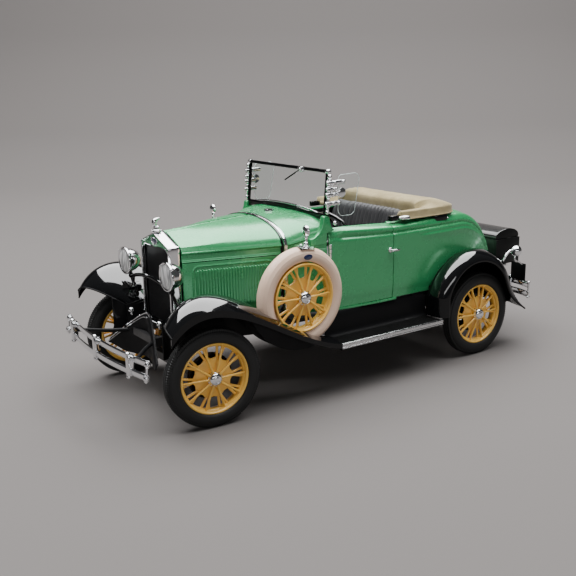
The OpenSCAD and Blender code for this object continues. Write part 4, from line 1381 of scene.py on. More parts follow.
def spare_wheels():
    """Covers, with rims and caps that stand a little further out."""
    covers, rims, caps = Piece("spare_wheel_covers"), Piece("spare_wheel_rims"), Piece("spare_hub_caps")
    for side in (1, -1):
        place = spare_matrix(side)
        for whole, build, out in (
            (covers, cover_mesh, 0),
            (rims, lambda piece: rim_mesh(piece, False), 0.9),
            (caps, cap_mesh, 0.9),
        ):
            whole.join(build(Piece("part")).move(Matrix.Translation((0, out * side, 0)) @ place))
    covers.done("car_body", "cover_vinyl", COVER, ["spare_covers"])
    rims.done("car_body", "wheel_yellow", YELLOW, ["spare_rims"], 0.05)
    caps.done("car_body", "chrome", CHROME)


def spare_mirrors():
    """Strap plate on the cover, stalk with two balls and a round mirror."""
    chrome, glass = Piece("spare_mirror_arms"), Piece("spare_mirror_faces")
    plate = []
    for x in np.linspace(97.2, 104.2, 12):
        lift = SPARE[2] + math.sqrt(21.35**2 - (x - SPARE[0]) ** 2)
        plate.append([(x, y, lift - 0.75 * ((y - 38) / 3.2) ** 2) for y in np.linspace(34.8, 41.2, 11)])
    chrome.grid(plate)
    chrome.grid([[(x, y, z - 0.5) for x, y, z in row] for row in plate])
    for y in (35.8, 40.2):
        chrome.ball((100.6, y, 66.2), 0.55, (0, 0, 1), 0.7)
    chrome.ball((99.6, 38, 66.9), 1.05, (0, 0, 1), 0.9)
    chrome.tube(curve([(99.6, 38, 66.8), (99.5, 38.1, 68.6), (99.4, 38, 70.8)], 6), 0.5, 12)
    chrome.ball((99.4, 38, 69.6), 0.8)
    dish = [
        (0, 1.4), (1.1, 1.2), (1.9, 0.7), (2.25, 0.18), (2.32, -0.1), (2.28, -0.3), (2.05, -0.33),
        (2.0, -0.1), (0, -0.1),
    ]
    chrome.revolve(dish, (99.5, 38, 72.3), (1, 0, 0), 48)
    glass.revolve([(0, -0.16), (2.02, -0.16), (2.02, -0.05), (0, -0.05)], (99.5, 38, 72.3), (1, 0, 0), 48)
    oval = Piece("spare_cover_badges")
    oval.prism(ellipse(101.1, 62.1, 2.1, 1.15, 36), in_profile, 41.0, 41.8)
    oval.mirror().done("car_body", "cover_vinyl", NAVY, (), 0.1)
    chrome.mirror().done("car_body", "chrome", CHROME, ["spare_mirrors"], 0.05)
    glass.mirror().done("car_body", "chrome", MIRROR)


spare_wheels()
spare_mirrors()

# ---------------------------------------------------------------- radiator and lamps


def shell_outline(inset):
    """Front outline of the radiator shell, a gable with square shoulders, as a loop of (y, z)."""
    w, foot = 13.2 - inset, 32.4 + inset
    peak, slope, nib = 72.6 - 1.07 * inset, 0.385, 0.7
    side = [(w, foot + (peak - slope * w - nib - foot) * k / 20) for k in range(21)]
    bend = [
        (w - 0.08, peak - slope * w - 0.25), (w - 0.25, peak - slope * w + 0.02),
        (w - nib, peak - slope * (w - nib)),
    ]
    roof = [(y, peak - slope * y) for y in np.linspace(w - 1.2, 0.6, 16)]
    half = [*side, *bend, *roof, (0.0, peak - 0.1)]
    return [*half, *[(-y, z) for y, z in half[-2::-1]]]


def panel_edge(y):
    """Height of the painted panel's lower edge: level, drooping at its ends."""
    return 66.5 - 1.7 * step(abs(y), 9, 11.8) - 0.5 * hump(y, 0, 1.4)


def radiator():
    shell = Piece("radiator_surround")
    cross = [
        (0.85, 148.5), (0.85, 149.2), (0.75, 149.65), (0.6, 149.8), (0.45, 149.75), (0.3, 149.5),
        (0.15, 149.2), (0.04, 148.8), (0, 148.3), (0, 146.2), (0, 144.9), (0.15, 144.6), (1.2, 144.6),
        (1.35, 145.0),
    ]
    rows = [[(x, y, z) for y, z in shell_outline(inset)] for inset, x in cross]
    shell.grid(rows, wrap_u=True, wrap_v=True)
    shell.done("car_body", "chrome", CHROME, ["radiator_shell"], angle=50)
    top = [(y, z) for y, z in shell_outline(0.75) if z > 64.9]
    low = [(y, panel_edge(y)) for y in np.linspace(-12.4, 12.4, 41)]
    panel = Piece("radiator_painted_panel").prism([*top, *low], from_front, 148.2, 149.1)
    panel.done("car_body", "body_green", GREEN, (), 0.15)
    trim = Piece("radiator_panel_trim")
    trim.tube([(149.1, y, z) for y, z in low], 0.24, 8)
    trim.done("car_body", "chrome", CHROME)
    oval = ellipse(0, 68.8, 2.6, 1.4, 40)
    badge = Piece("radiator_badge").prism(oval, from_front, 149.0, 149.45)
    badge.done("car_body", "chrome", NAVY, (), 0.12)
    ring = Piece("radiator_badge_ring").tube([(149.4, y, z) for y, z in oval], 0.17, 8, True)
    ring.done("car_body", "chrome", CHROME)
    core = Piece("radiator_honeycomb")
    core.prism(shell_outline(1.4), from_front, 145.4, 147.4)
    for y in np.linspace(-11.2, 11.2, 45):
        core.box((147.3, y - 0.09, 34), (148.15, y + 0.09, 66.5))
    for z in np.linspace(34.4, 66.2, 56):
        core.box((147.3, -11.6, z - 0.07), (148.0, 11.6, z + 0.07))
    core.done("car_body", "grille_black", MESH, ["radiator_core"])
    edge = Piece("radiator_core_frame")
    for y in (-11.4, 11.4):
        edge.box((147.8, y - 0.45, 33.9), (148.7, y + 0.45, 65.2))
    edge.box((147.8, -11.6, 33.8), (148.7, 11.6, 34.9))
    edge.done("car_body", "gloss_black", BLACK, (), 0.12)
    cap = Piece("radiator_filler_cap")
    cap.revolve(
        [
            (0, 72.2), (1.9, 72.3), (1.95, 72.9), (1.75, 73.3), (1.35, 73.5), (1.3, 74.5), (0.75, 74.8),
            (0.45, 75.1), (0, 75.2),
        ],
        (148, 0, 0), (0, 0, 1), 40,
    )
    for x, y in ellipse(148, 0, 1.9, 1.9, 8):
        cap.ball((x, y, 72.85), 0.34, (0, 0, 1), 1.1, 12)
    # Plain flame-shaped finial, leaning back
    cap.tube(
        curve(
            [(148.4, 0, 74.8), (148.9, 0, 75.8), (148.7, 0, 76.9), (147.6, 0, 77.6), (146.2, 0, 78.0)], 8
        ),
        lambda t: 0.95 * math.sin(math.pi * (0.22 + 0.76 * t)) ** 0.8 + 0.06, 18,
    )
    cap.done("car_body", "chrome", CHROME, ["radiator_cap"])


radiator()

LAMP_AT = (154.4, 19.75, 57.8)


def headlights():
    shells, lenses = Piece("headlight_bowls"), Piece("headlight_fluted_lenses")
    bar = Piece("headlight_crossbar")
    bowl = [
        (0, -7.5), (0.45, -7.45), (0.5, -7.15), (1.4, -7.0), (2.6, -6.5), (3.8, -5.5), (4.8, -3.6),
        (5.25, -1.8), (5.4, -0.95), (5.55, -0.9), (5.9, -0.75), (6.02, -0.3), (5.98, 0.15), (5.75, 0.4),
        (5.4, 0.42), (5.1, 0.2), (4.9, 0.1), (4.85, -0.5), (4.4, -2.8), (3.2, -4.6), (1.6, -5.8),
        (0, -6.1),
    ]
    shells.revolve(bowl, LAMP_AT, (1, 0, 0), 72)
    rows = []
    lens_r = 4.95
    for y in np.linspace(-lens_r, lens_r, 100):
        line = []
        for z in np.linspace(-lens_r, lens_r, 46):
            far = math.hypot(y, z)
            k = min(1.0, lens_r / far) if far > 0 else 1
            r = min(far, lens_r)
            dome = 1.15 * math.sqrt(max(0, 1 - (r / 5.4) ** 2)) - 0.35
            flute = 0.10 * abs(math.sin(math.pi * y * k / 0.62)) * (1 - step(r, 4.2, 4.9))
            line.append((LAMP_AT[0] + dome - flute, LAMP_AT[1] + y * k, LAMP_AT[2] + z * k))
        rows.append(line)
    lenses.grid(rows)
    for a in (38, 142):
        dy, dz = 5.7 * math.cos(math.radians(a)), 5.7 * math.sin(math.radians(a))
        shells.box(
            (LAMP_AT[0] - 0.9, LAMP_AT[1] + dy - 0.35, LAMP_AT[2] + dz - 0.45),
            (LAMP_AT[0] + 0.5, LAMP_AT[1] + dy + 0.35, LAMP_AT[2] + dz + 0.55),
        )
    shells.mirror().done("car_body", "chrome", CHROME, ["headlight_shells"], 0.05)
    lenses.mirror().done(
        "car_body", "lamp_glass", LENS, ["headlight_lenses"], 0, 2, 0.25, (150, 0, 57.8), angle=60
    )
    bow, top = 62, 53.8
    arc = [(152.1, y, top - bow + math.sqrt(bow**2 - y * y)) for y in np.linspace(-19.6, 19.6, 41)]
    bar.tube(arc, 0.85, 16)
    half = Piece("half")
    half.tube(
        curve([(152.0, 18.8, 51.0), (151.6, 19.0, 49.4), (150.4, 20, 46), (148.6, 21.2, 41.8)], 7), 0.78,
        14,
    )
    half.rod((152, 19.4, 50.4), (152, 19.75, 52.6), 0.9)
    half.ball((152, 19.3, 51.1), 1.15)
    bar.join(half.mirror())
    bar.done("car_body", "gloss_black", BLACK, ["headlight_bar"])
    horn = Piece("horn_trumpet")
    horn.revolve(
        [
            (0, -4.6), (1.9, -4.6), (2.15, -4.4), (2.2, -2.7), (1.9, -2.4), (0.95, -2.1), (1.0, -1.2),
            (1.35, -0.4), (2.2, 0.6), (3.1, 1.35), (3.45, 1.7), (3.3, 1.85), (2.9, 1.6), (1.9, 0.7),
            (1.0, -0.4), (0, -0.8),
        ],
        (154.6, -16, 46.4), (1, 0, 0), 48,
    )
    horn.tube(curve([(152.6, -16, 48.4), (152.2, -16.3, 50.6), (152.1, -16.6, 51.8)], 6), 0.6, 10)
    horn.revolve([(0, -4.75), (1.3, -4.75), (1.4, -5.2), (0, -5.3)], (154.6, -16, 46.4), (1, 0, 0), 24)
    horn.done("car_body", "gloss_black", BLACK, ["horn"])


headlights()

# ---------------------------------------------------------------- bumpers


def bumper_line(tip_x, mid_x, half_span):
    """The bumper bar's bow in plan, as (x, y) points."""
    bow = (half_span**2 + (mid_x - tip_x) ** 2) / (2 * (mid_x - tip_x))
    ys = np.linspace(-half_span, half_span, 60)
    return [(mid_x - bow + math.sqrt(bow**2 - y * y) - 0.45, y) for y in ys]


def bolt(piece, x, y, z0, z1, r):
    """A vertical bolt with a domed nut at each end."""
    piece.rod((x, y, z0), (x, y, z1), r)
    for z in (z0, z1):
        piece.ball((x, y, z), r * 1.75, (0, 0, 1), 0.85, 20)


def bumpers():
    front = Piece("front_bumper_bars")
    strip = [(0.12, -1.4), (0.34, -0.95), (0.48, -0.35), (0.48, 0.35), (0.34, 0.95), (0.12, 1.4),
             (-0.12, 1.4), (-0.34, 0.95), (-0.48, 0.35), (-0.48, -0.35), (-0.34, -0.95), (-0.12, -1.4)]
    for z, tip, mid, span in ((31.1, 173.55, 177.4, 39.7), (25.9, 174.35, 178.4, 39.9)):
        front.sweep([(x, y, z) for x, y in bumper_line(tip, mid, span)], strip, up=(0, 0, 1))
    front.done("car_body", "chrome", CHROME, ["front_bumper"], 0.1)
    clamp = Piece("front_bumper_clamps")
    clamp.prism([(176.4, -1.2), (178.6, -1.2), (179.0, -0.7), (179.0, 0.7), (178.6, 1.2), (176.4, 1.2)],
                in_plan, 24.4, 32.7)
    bolt(clamp, 178.1, 0, 23.9, 33.1, 0.6)
    half = Piece("half")
    half.prism([(174.6, 27.5), (177.0, 27.5), (177.4, 27.9), (177.4, 29.1), (177.0, 29.5), (174.6, 29.5)],
               in_plan, 24.2, 32.5)
    bolt(half, 176.7, 28.5, 23.9, 33.0, 0.55)
    for x, z in ((173.9, 31.1), (174.7, 25.9)):
        half.rod((x, 39.6, z - 1.35), (x, 39.6, z + 1.35), 0.8)
        half.ball((x, 39.6, z), 1.15, (0, 0, 1), 1.1)
    half.rod((174.7, 39.6, 24.0), (173.8, 39.6, 32.9), 0.42)
    clamp.join(half.mirror())
    irons = Piece("front_bumper_irons")
    irons.tube(
        curve([(175.4, 28.4, 28.5), (172, 25.5, 28.6), (165, 17.5, 29), (158.2, 11.6, 29.5)], 7), 0.85,
        12,
    )
    irons.mirror().done("car_body", "frame_black", SHADED_BLACK)
    clamp.done("car_body", "chrome", CHROME, (), 0.12)
    rear = Piece("rear_bumper_bars")
    path = curve([(-38.85, 18, 0), (-39.2, 26, 0), (-38.5, 35, 0), (-36.3, 42.0, 0)], 12)
    for z in (23.6, 28.6):
        rear.sweep([(p[0], p[1], z) for p in path], rounded(0.42, 1.6, 0.4, 4), up=(0, 0, 1))
    rear.prism([(-39.6, 26.4), (-38.0, 26.4), (-38.0, 28.4), (-39.6, 28.4)], in_plan, 21.9, 30.4)
    bolt(rear, -39.0, 27.4, 21.7, 30.6, 0.5)
    bolt(rear, -36.6, 41.4, 22.4, 30.0, 0.5)
    rear.tube(
        curve([(-38.6, 27.4, 26.1), (-34, 24, 26.6), (-28, 18.6, 28.4), (-22.4, 15, 29.3)], 6), 0.95, 12
    )
    rear.mirror().done("car_body", "chrome", CHROME, ["rear_bumpers"], 0.1)


bumpers()

# ---------------------------------------------------------------- windshield and wind wings

GLASS_FOOT = (83.9, 76.0)
GLASS_HEAD = (82.1, 94.4)
POST_FOOT = (84.6, 31.8, 68.4)
POST_HEAD = (82.5, 31.8, 92.0)


def post_at(height, out=0.0):
    """A point on the left windshield post, height millimetres along it."""
    along = unit(np.subtract(POST_HEAD, POST_FOOT))
    return np.array(POST_FOOT) + along * height + (0, out, 0)


def windshield():
    bars = Piece("windshield_surround")
    (x0, z0), (x1, z1) = GLASS_FOOT, GLASS_HEAD
    lean = unit((x1 - x0, 0, z1 - z0))
    for x, z in ((x0, z0), (x1, z1)):
        bars.sweep([(x, -30.4, z), (x, 30.4, z)], rounded(0.72, 0.72, 0.3, 4), up=tuple(lean))
    for y in (-29.95, 29.95):
        bars.sweep([(x0, y, z0), (x1, y, z1)], rounded(0.6, 0.62, 0.26, 4), up=(1, 0, 0))
    bars.done("car_body", "gloss_black", BLACK, ["windshield_frame"])
    glass = Piece("windshield_pane")
    sheet = [(-29.4, -0.2), (-29.4, 0.2), (29.4, 0.2), (29.4, -0.2)]
    glass.sweep([(x0 - 0.06, 0, z0 + 0.5), (x1 + 0.06, 0, z1 - 0.5)], sheet, up=(1, 0, 0))
    glass.done("car_body", "clear_glass", GLASS, ["windshield_glass"])
    chrome = Piece("windshield_brightwork")
    chrome.tube([post_at(8.6), post_at(23.8)], 0.62, 18)
    chrome.ball((79.3, 31.2, 72.2), 0.95)
    for height, size in ((9.0, 0.95), (11.8, 1.15), (15.6, 1.05), (17.6, 0.9), (20.6, 1.1)):
        chrome.ball(post_at(height), size)
    chrome.ball(post_at(24.0), 1.0, (0, 0, 1), 1.1)
    for height in (12.2, 22.2):
        chrome.rod(post_at(height, -1.8), post_at(height, 0), 0.5)
    # Corner caps over the ends of the top bar
    chrome.revolve(
        [(0, 0.9), (0.75, 0.8), (1.0, 0.4), (1.0, -1.2), (0, -1.2)], (x1, 30.7, z1 - 0.05), (0, 1, 0), 24
    )
    chrome.mirror()
    chrome.sweep(
        [(x1 + 0.7, 10.6, z1 - 0.3), (x1 + 0.7, 13.8, z1 - 0.3)], rounded(0.95, 1.15, 0.4, 4),
        up=(0, 0, 1),
    )
    chrome.ball((x1 + 1.7, 12.2, z1 - 0.3), 0.6, (1, 0, 0), 0.7)
    chrome.done("car_body", "chrome", CHROME, (), 0.06)
    wiper = Piece("windshield_wiper")
    wiper.tube([(83.6, 12.2, 94.0), (83.9, 5.6, 90.8)], 0.24, 10)
    wiper.tube([(84.0, 9.0, 92.3), (84.2, 1.4, 88.6)], 0.34, 8)
    wiper.done("car_body", "gloss_black", BLACK)


def wing(side):
    name = hand(side)
    outline = []
    corners = (
        (76.9, 91.3, 1.5, 0, 90), (70.0, 90.2, 2.8, 90, 180), (72.3, 78.0, 2.7, 186, 270),
        (75.9, 78.1, 2.8, 270, 360),
    )
    for cx, cz, r, start, stop in corners:
        for a in np.radians(np.linspace(start, stop, 10)):
            outline.append((cx + r * math.cos(a), cz + r * math.sin(a)))
    pane = Piece(f"wind_wing_pane_{name}")
    pane.prism(outline, in_profile, 32.45, 32.85)
    pane.to_side(side).done(f"wind_wing_{name}", "clear_glass", GLASS, [f"wind_wing_{name}"], 0.08)
    rim = Piece(f"wind_wing_edge_{name}")
    rim.tube([(x, 32.65, z) for x, z in outline], 0.12, 8, True)
    rim.to_side(side).done(f"wind_wing_{name}", "clear_glass", EDGE)
    clamps = Piece(f"wind_wing_clamps_{name}")
    for height, reach in ((12.0, 5.6), (15.8, 5.0), (18.0, 3.6), (20.8, 7.4)):
        low, high = post_at(height), post_at(height + 1.4)
        along = unit(high - low)
        clamps.revolve(
            [(0.7, 0), (1.15, 0.0), (1.3, 0.2), (1.3, 1.2), (1.15, 1.4), (0.7, 1.4)], low, along, 28
        )
        mid = (low + high) / 2
        clamps.sweep(
            [mid + (-0.6, 0.95, 0), mid + (-reach, 0.95, 0.1)], rounded(0.5, 0.95, 0.4, 3), up=(0, 0, 1)
        )
        for back in (0.9 - reach, -1.9):
            clamps.ball(mid + (back, 1.4, 0.05), 0.95, (0, 1, 0), 0.8)
        clamps.ball(mid + (0.9, 0.2, 0), 0.72)
    clamps.revolve(
        [(0, 0.5), (1.5, 0.45), (2.1, 0.15), (2.1, -0.1), (0, -0.1)], (77.4, 33.6, 85.4), (0, 1, 0), 28
    )
    clamps.to_side(side).done(f"wind_wing_{name}", "chrome", CHROME, (), 0.05)


windshield()
wing(1)
wing(-1)

# ---------------------------------------------------------------- seats and folded top


def closed_outline(points, count=96):
    """Evenly spaced points round a smooth closed (x, z) outline."""
    pts = [np.asarray(p, float) for p in points]
    n = len(pts)
    fine = []
    for i in range(n):
        a, b, c, d = pts[i - 1], pts[i], pts[(i + 1) % n], pts[(i + 2) % n]
        fine.extend([spline_point(a, b, c, d, k / 16) for k in range(16)])
    fine = np.array([*fine, fine[0]])
    run = np.concatenate([[0], np.cumsum(np.linalg.norm(np.diff(fine, axis=0), axis=1))])
    at = np.linspace(0, run[-1], count, endpoint=False)
    return np.stack([np.interp(at, run, fine[:, 0]), np.interp(at, run, fine[:, 1])], axis=1)


def pad(name, outline, half, relief):
    """A stuffed cushion: the outline carried across the car and pulled in at its ends, then quilted."""
    base = closed_outline(outline)
    along = np.roll(base, -1, axis=0) - np.roll(base, 1, axis=0)
    normal = np.stack([along[:, 1], -along[:, 0]], axis=1) / np.linalg.norm(along, axis=1, keepdims=True)
    middle = base.mean(axis=0)
    if np.sum(normal * (base - middle)) < 0:
        normal = -normal
    share = np.linspace(-1, 1, 361)
    rows = []
    for t in share:
        y = half * math.sin(math.pi / 2 * t) if abs(t) > 0.999 else half * (1.15 * t - 0.15 * t**5)
        u = min(1.0, abs(y) / half)
        pull = max(0.02, (1 - u**14) ** 0.5)
        pts = middle + (base - middle) * (1 - (1 - pull) * 0.9)
        for k, (p, n) in enumerate(zip(pts, normal)):
            pts[k] = p + n * relief(y, *base[k]) * pull
        rows.append([(x, y, z) for x, z in pts])
    return Piece(name).grid(rows, wrap_v=True).cap_ends(len(rows), len(base))


PLEAT = 2.65


def back_relief(y, x, z):
    """Sewn channels on the front and top of the seat back, with a welt under them."""
    front = step(x, 30.5, 34.0) if z > 69 else step(x, 33.5, 35.0) * step(z, 52, 54)
    inside = 1 - step(abs(y), 24.8, 25.6)
    groove = abs(math.sin(math.pi * y / PLEAT)) ** 0.55
    return front * inside * 0.42 * (groove - 1) + 0.12 * (1 - inside) * front


def cushion_relief(y, x, z):
    top = step(z, 47.5, 49.5) * (1 - step(x, 57.5, 59)) * (1 - step(abs(y), 25, 25.8))
    groove = abs(math.sin(math.pi * y / PLEAT)) ** 0.55
    welt = 0.22 * hump(z, 48.2, 0.35) * step(x, 57, 59)
    return top * (0.42 * (groove - 1) + 0.25) + welt


def seats():
    back = pad(
        "seat_back_rest",
        [
            (39.6, 51.6), (39.5, 56), (38.8, 62), (37.4, 67.2), (36.2, 70.4), (34.6, 72.2), (32.8, 72.2),
            (31.8, 70.4), (32.2, 66), (33.4, 60), (34.6, 55), (35.6, 51.6), (37.6, 51.2),
        ],
        26.4, back_relief,
    )
    made = back.done("car_body", "seat_vinyl", VINYL, ["seat_back"], angle=60)
    cushion = pad(
        "seat_bench",
        [
            (41.2, 42), (41.2, 47.5), (43.5, 49.9), (50, 50.5), (56.5, 50.3), (60, 49.0), (60.9, 46),
            (60.6, 42), (58.5, 40.7), (44, 40.7),
        ],
        26.8, cushion_relief,
    )
    made = cushion.done("car_body", "seat_vinyl", VINYL, ["seat_cushion"], angle=60)


seats()


def pack_foot(t):
    """Height of the folded top's lower edge, t from its arm's front end to the middle of the tail."""
    return 69.4 + 0.5 * step(t, 0.3, 0.6)


def folded_top():
    """The canvas pack across the tail and its two arms, as one sheet closed underneath."""
    outer = curve(
        [
            (41.6, 32.3), (36, 32.6), (26, 32.7), (16, 32.6), (10.5, 32.0), (8.0, 30.2), (7.1, 26),
            (7.0, 18), (6.8, 8), (6.7, 0),
        ],
        12,
    )
    inner = curve(
        [
            (41.8, 28.2), (37, 27.6), (31, 27.0), (28.8, 26.4), (28.2, 25.8), (27.8, 25.2), (27.6, 22),
            (28.2, 15), (28.9, 7), (29.0, 0),
        ],
        12,
    )
    n = len(outer)
    rows = []
    for i, (o, k) in enumerate(zip(outer, inner)):
        t = i / (n - 1)
        centre = step(t, 0.20, 0.66)
        foot = pack_foot(t)
        wall = lerp(73.1, 73.3, centre)
        crown = lerp(0.5, 3.5, centre)
        lip = lerp(69.8, 70.9, centre)
        into = unit(np.array([*(k - o), 0]))
        width = np.linalg.norm(k - o)
        line = [(0.5, foot), (0.15, foot + 0.15), (0.0, foot + 0.5)]
        line += [(0.10 + 0.35 * s, lerp(foot + 0.5, wall - 0.25, s)) for s in np.linspace(0.12, 1, 8)]
        line += [(0.62, wall + 0.02)]
        for s in np.linspace(0.06, 1, 22):
            dome = crown * math.sin(math.pi * min(1, s * 0.62 + 0.03)) ** 0.9
            drop = (wall - lip - 0.9) * step(s, 0.25, 1.0) ** 1.4
            flat = wall + dome * (1 - 0.75 * step(s, 0.55, 1)) - drop
            if s < 0.7:
                roll = 73.3 + 3.5 * math.sin(math.pi / 2 * s / 0.7) ** 0.9
            else:
                roll = 75.2 + 1.6 * math.sqrt(max(0.0, 1 - ((s - 0.7) / 0.3) ** 2))
            line.append((lerp(0.75, width - 0.25, s), lerp(flat, roll, centre)))
        brow = lerp(lip + 0.55, 74.9, centre)
        for s in (0.0, 0.25, 0.5, 0.75, 1.0):
            belly = 0.35 * math.sin(math.pi * s) * centre - 0.5 * centre * hump(s, 0.62, 0.12)
            line.append((width - 0.1 + belly, lerp(brow, lip - 0.1, s)))
        line.append((width - 0.6, lip - 0.25))
        ripple = 0.10 * centre * math.sin(o[1] * 0.9) * math.sin(o[1] * 0.37 + 1)
        row = []
        for a, z in line:
            row.append((o[0] + into[0] * a, o[1] + into[1] * a, z + ripple * step(z, 72, 76)))
        rows.append(row)
    # The arm's front end, rounded to a blunt nose
    end = np.array(rows[0])
    mid = end.mean(axis=0)
    nose = []
    for s in (0.97, 0.75, 0.5, 0.3, 0.14, 0.05):
        nose.append(end * (1 - s) + mid * s + (0.9 * math.sin(s * math.pi / 2), 0, 0))
    rows = [*nose, *rows]
    rows = [*rows, *[[(x, -y, z) for x, y, z in row] for row in rows[-2::-1]]]
    canvas_pack = Piece("folded_top_canvas").grid(rows, wrap_v=True)
    made = canvas_pack.done("car_body", "top_fabric", CANVAS, ["soft_top"], angle=45)
    piping = Piece("folded_top_piping")
    edge = [(o[0], o[1], pack_foot(i / (n - 1)) + 0.25) for i, o in enumerate(outer)]
    edge = [*edge, *[(x, -y, z) for x, y, z in edge[-2::-1]]]
    piping.tube(edge, 0.3, 10)
    piping.done("car_body", "top_fabric", CANVAS)
    bed = Piece("folded_top_bed")
    bed.prism([(8.6, 26), (9.4, 31.4), (41, 31.6), (41, 28.6), (30, 27.4), (27, 25)], in_plan, 69.0, 69.9)
    bed.prism([(42.0, 28.9), (42.0, 31.3), (47.0, 31.3), (47.4, 30.6), (47.4, 28.9)], in_plan, 69.2, 71.6)
    bed.prism([(12.6, 31.6), (22, 31.6), (20.6, 32.9), (14, 32.9)], in_plan, 66.6, 69.2)
    bed.mirror().done("car_body", "gloss_black", BLACK, (), 0.25)
    knob = Piece("folded_top_catches")
    knob.tube(
        [
            (37.6, 32.6, 69.6), (38.2, 32.7, 70.1), (40.4, 32.4, 70.4), (42.2, 31.6, 70.4),
            (42.8, 31.2, 70.3),
        ],
        lambda t: 0.35 + 0.75 * math.sin(math.pi * (0.12 + 0.86 * t)), 20,
    )
    knob.ball((13.6, 33.0, 67.5), 0.42, (0, 1, 0), 0.7)
    knob.mirror().done("car_body", "chrome", CHROME)


folded_top()

# ---------------------------------------------------------------- controls and small fittings


def steering():
    axis = unit((-0.8, 0, 0.6))
    centre = np.array([64, 14, 64.5])
    side, up = frame_for(axis)
    wheel = Piece("steering_wheel_rim")
    ring = [centre + u * side + v * up for u, v in ellipse(0, 0, 11.2, 11.2, 72)]
    wheel.tube(ring, lambda t: 0.74 + 0.06 * math.cos(2 * math.pi * 18 * t), 16, True)
    for k in range(3):
        a = math.radians(90 + 120 * k)
        out = math.cos(a) * side + math.sin(a) * up
        wheel.tube(
            [centre + out * 1.2 - axis * 0.3, centre + out * 6, centre + out * 11.0],
            lambda t: 0.42 - 0.08 * t, 12,
        )
    wheel.done("steering_wheel", "gloss_black", BLACK, ["steering_wheel"])
    hub = Piece("steering_wheel_hub")
    hub.revolve(
        [(0, 1.1), (0.9, 1.05), (1.5, 0.75), (1.75, 0.2), (1.75, -0.4), (1.3, -0.9), (0, -0.9)], centre,
        axis, 32,
    )
    hub.done("steering_wheel", "chrome", CHROME)


steering()


def dashboard():
    """Dial faces, bezels, needles and knobs on the instrument panel."""
    ring, face, marks = Piece("dash_bezels"), Piece("dash_faces"), Piece("dash_needles")
    x, dial_z = 85.55, 63.6
    for y, r in ((0, 4.6), (11, 2.7), (-11, 2.7), (18.5, 2.0), (-18.5, 2.0)):
        ring.tube([(x - 0.25, *p) for p in ellipse(y, dial_z, r, r, 48)], 0.28, 10, True)
        face.revolve([(0, 0.16), (r - 0.1, 0.1), (r - 0.1, 0), (0, 0)], (x - 0.1, y, dial_z), (-1, 0, 0), 40)
        near, far = (ellipse(y, dial_z, r * share, r * share, 12) for share in (0.74, 0.88))
        for a, b in zip(near, far):
            marks.rod((x - 0.32, *a), (x - 0.32, *b), 0.07, 6)
        marks.rod((x - 0.36, y, dial_z), (x - 0.36, y - r * 0.45, dial_z + r * 0.45), 0.09, 6)
        marks.ball((x - 0.34, y, dial_z), 0.2, (1, 0, 0), 0.6, 12)
    for y in (-6, -24, 24, 6):
        ring.revolve(
            [(0, 1.5), (0.55, 1.4), (0.62, 1.0), (0.35, 0.8), (0.35, 0)], (x + 0.1, y, 59.6), (-1, 0, 0),
            20,
        )
    ring.done("car_body", "chrome", CHROME)
    face.done("car_body", "instrument_metal", DIAL)
    marks.done("car_body", "gloss_black", BLACK)


dashboard()


def small_fittings():
    cap = Piece("cowl_filler_cap")
    cap.revolve(
        [(0, 0.95), (1.3, 0.9), (1.9, 0.72), (2.15, 0.35), (2.2, 0), (2.2, -0.5)],
        (92.4, 0, hood_top(92.4)), (0, 0, 1), 36,
    )
    cap.done("car_body", "chrome", CHROME)
    catches = Piece("hood_catches")
    for x in (110.5, 133.5):
        y = half_w(x)
        catches.revolve(
            [(0, 0.7), (0.6, 0.65), (0.95, 0.4), (1.05, 0), (1.05, -0.3)], (x, y - 0.55, 38.8),
            (0, 1, 0), 24,
        )
        catches.tube([(x, y - 0.2, 38.8), (x - 1.2, y + 0.25, 39.6), (x - 2.0, y + 0.2, 40.0)], 0.26, 10)
    catches.mirror().done("car_body", "chrome", CHROME)


small_fittings()


def tail():
    lamp, glass = Piece("tail_lamp_bodies"), Piece("tail_lamp_lenses")
    lamp.revolve(
        [
            (0, 2.6), (1.3, 2.4), (2.2, 1.6), (2.7, 0.3), (2.75, -1.2), (2.6, -1.5), (2.3, -1.5),
            (2.25, -1.1), (0, -1.1),
        ],
        (-29.6, 38, 46.6), (1, 0, 0), 40,
    )
    lamp.tube(
        curve([(-29.0, 38, 46.8), (-26.0, 37.9, 47.2), (-23.6, 37.6, 45.6), (-21.4, 37.2, 42.6)], 7),
        0.6, 14,
    )
    lamp.tube(
        curve([(-29.6, 38, 44.6), (-29.0, 38, 42.4), (-31.6, 38, 41.0), (-34.8, 38, 39.0)], 7), 0.38, 12
    )
    lamp.ball((-19.6, 37, 42.2), 0.8)
    glass.revolve(
        [(0, -1.6), (1.2, -1.5), (2.15, -1.2), (2.2, -0.95), (0, -0.95)], (-29.6, 38, 46.6), (1, 0, 0),
        40,
    )
    lamp.mirror().done("car_body", "chrome", CHROME, ["tail_lamps"])
    glass.mirror().done("car_body", "lamp_glass", LAMP)
    rack = Piece("luggage_rack_bars")
    for y in (-18, -9, 0, 9, 18):
        rack.sweep([(-44.6, y, 35.9), (-24.3, y, 35.9)], rounded(0.62, 0.75, 0.4, 4), up=(0, 0, 1))
    for x in (-44.4, -26.0):
        rack.sweep([(x, -20, 34.4), (x, 20, 34.4)], rounded(0.75, 0.6, 0.35, 4), up=(0, 0, 1))
    half = Piece("half")
    half.tube(curve([(-26, 14, 34.2), (-24.4, 13.4, 32.6), (-22.6, 12.8, 30.4)], 6), 0.8, 12)
    half.tube(curve([(-44.8, 19, 34.4), (-45.2, 19.4, 36.5), (-45.3, 19.4, 39)], 6), 0.55, 12)
    rack.join(half.mirror())
    rack.done("car_body", "chrome", CHROME, ["luggage_rack"])
    plate = Piece("number_plate_blank").box((-36.35, 30.2, 30.4), (-35.85, 39.4, 39.2))
    plate.done("car_body", "gloss_black", SHADED_BLACK, (), 0.15)


tail()


STRAP_Y = (-12, 12)


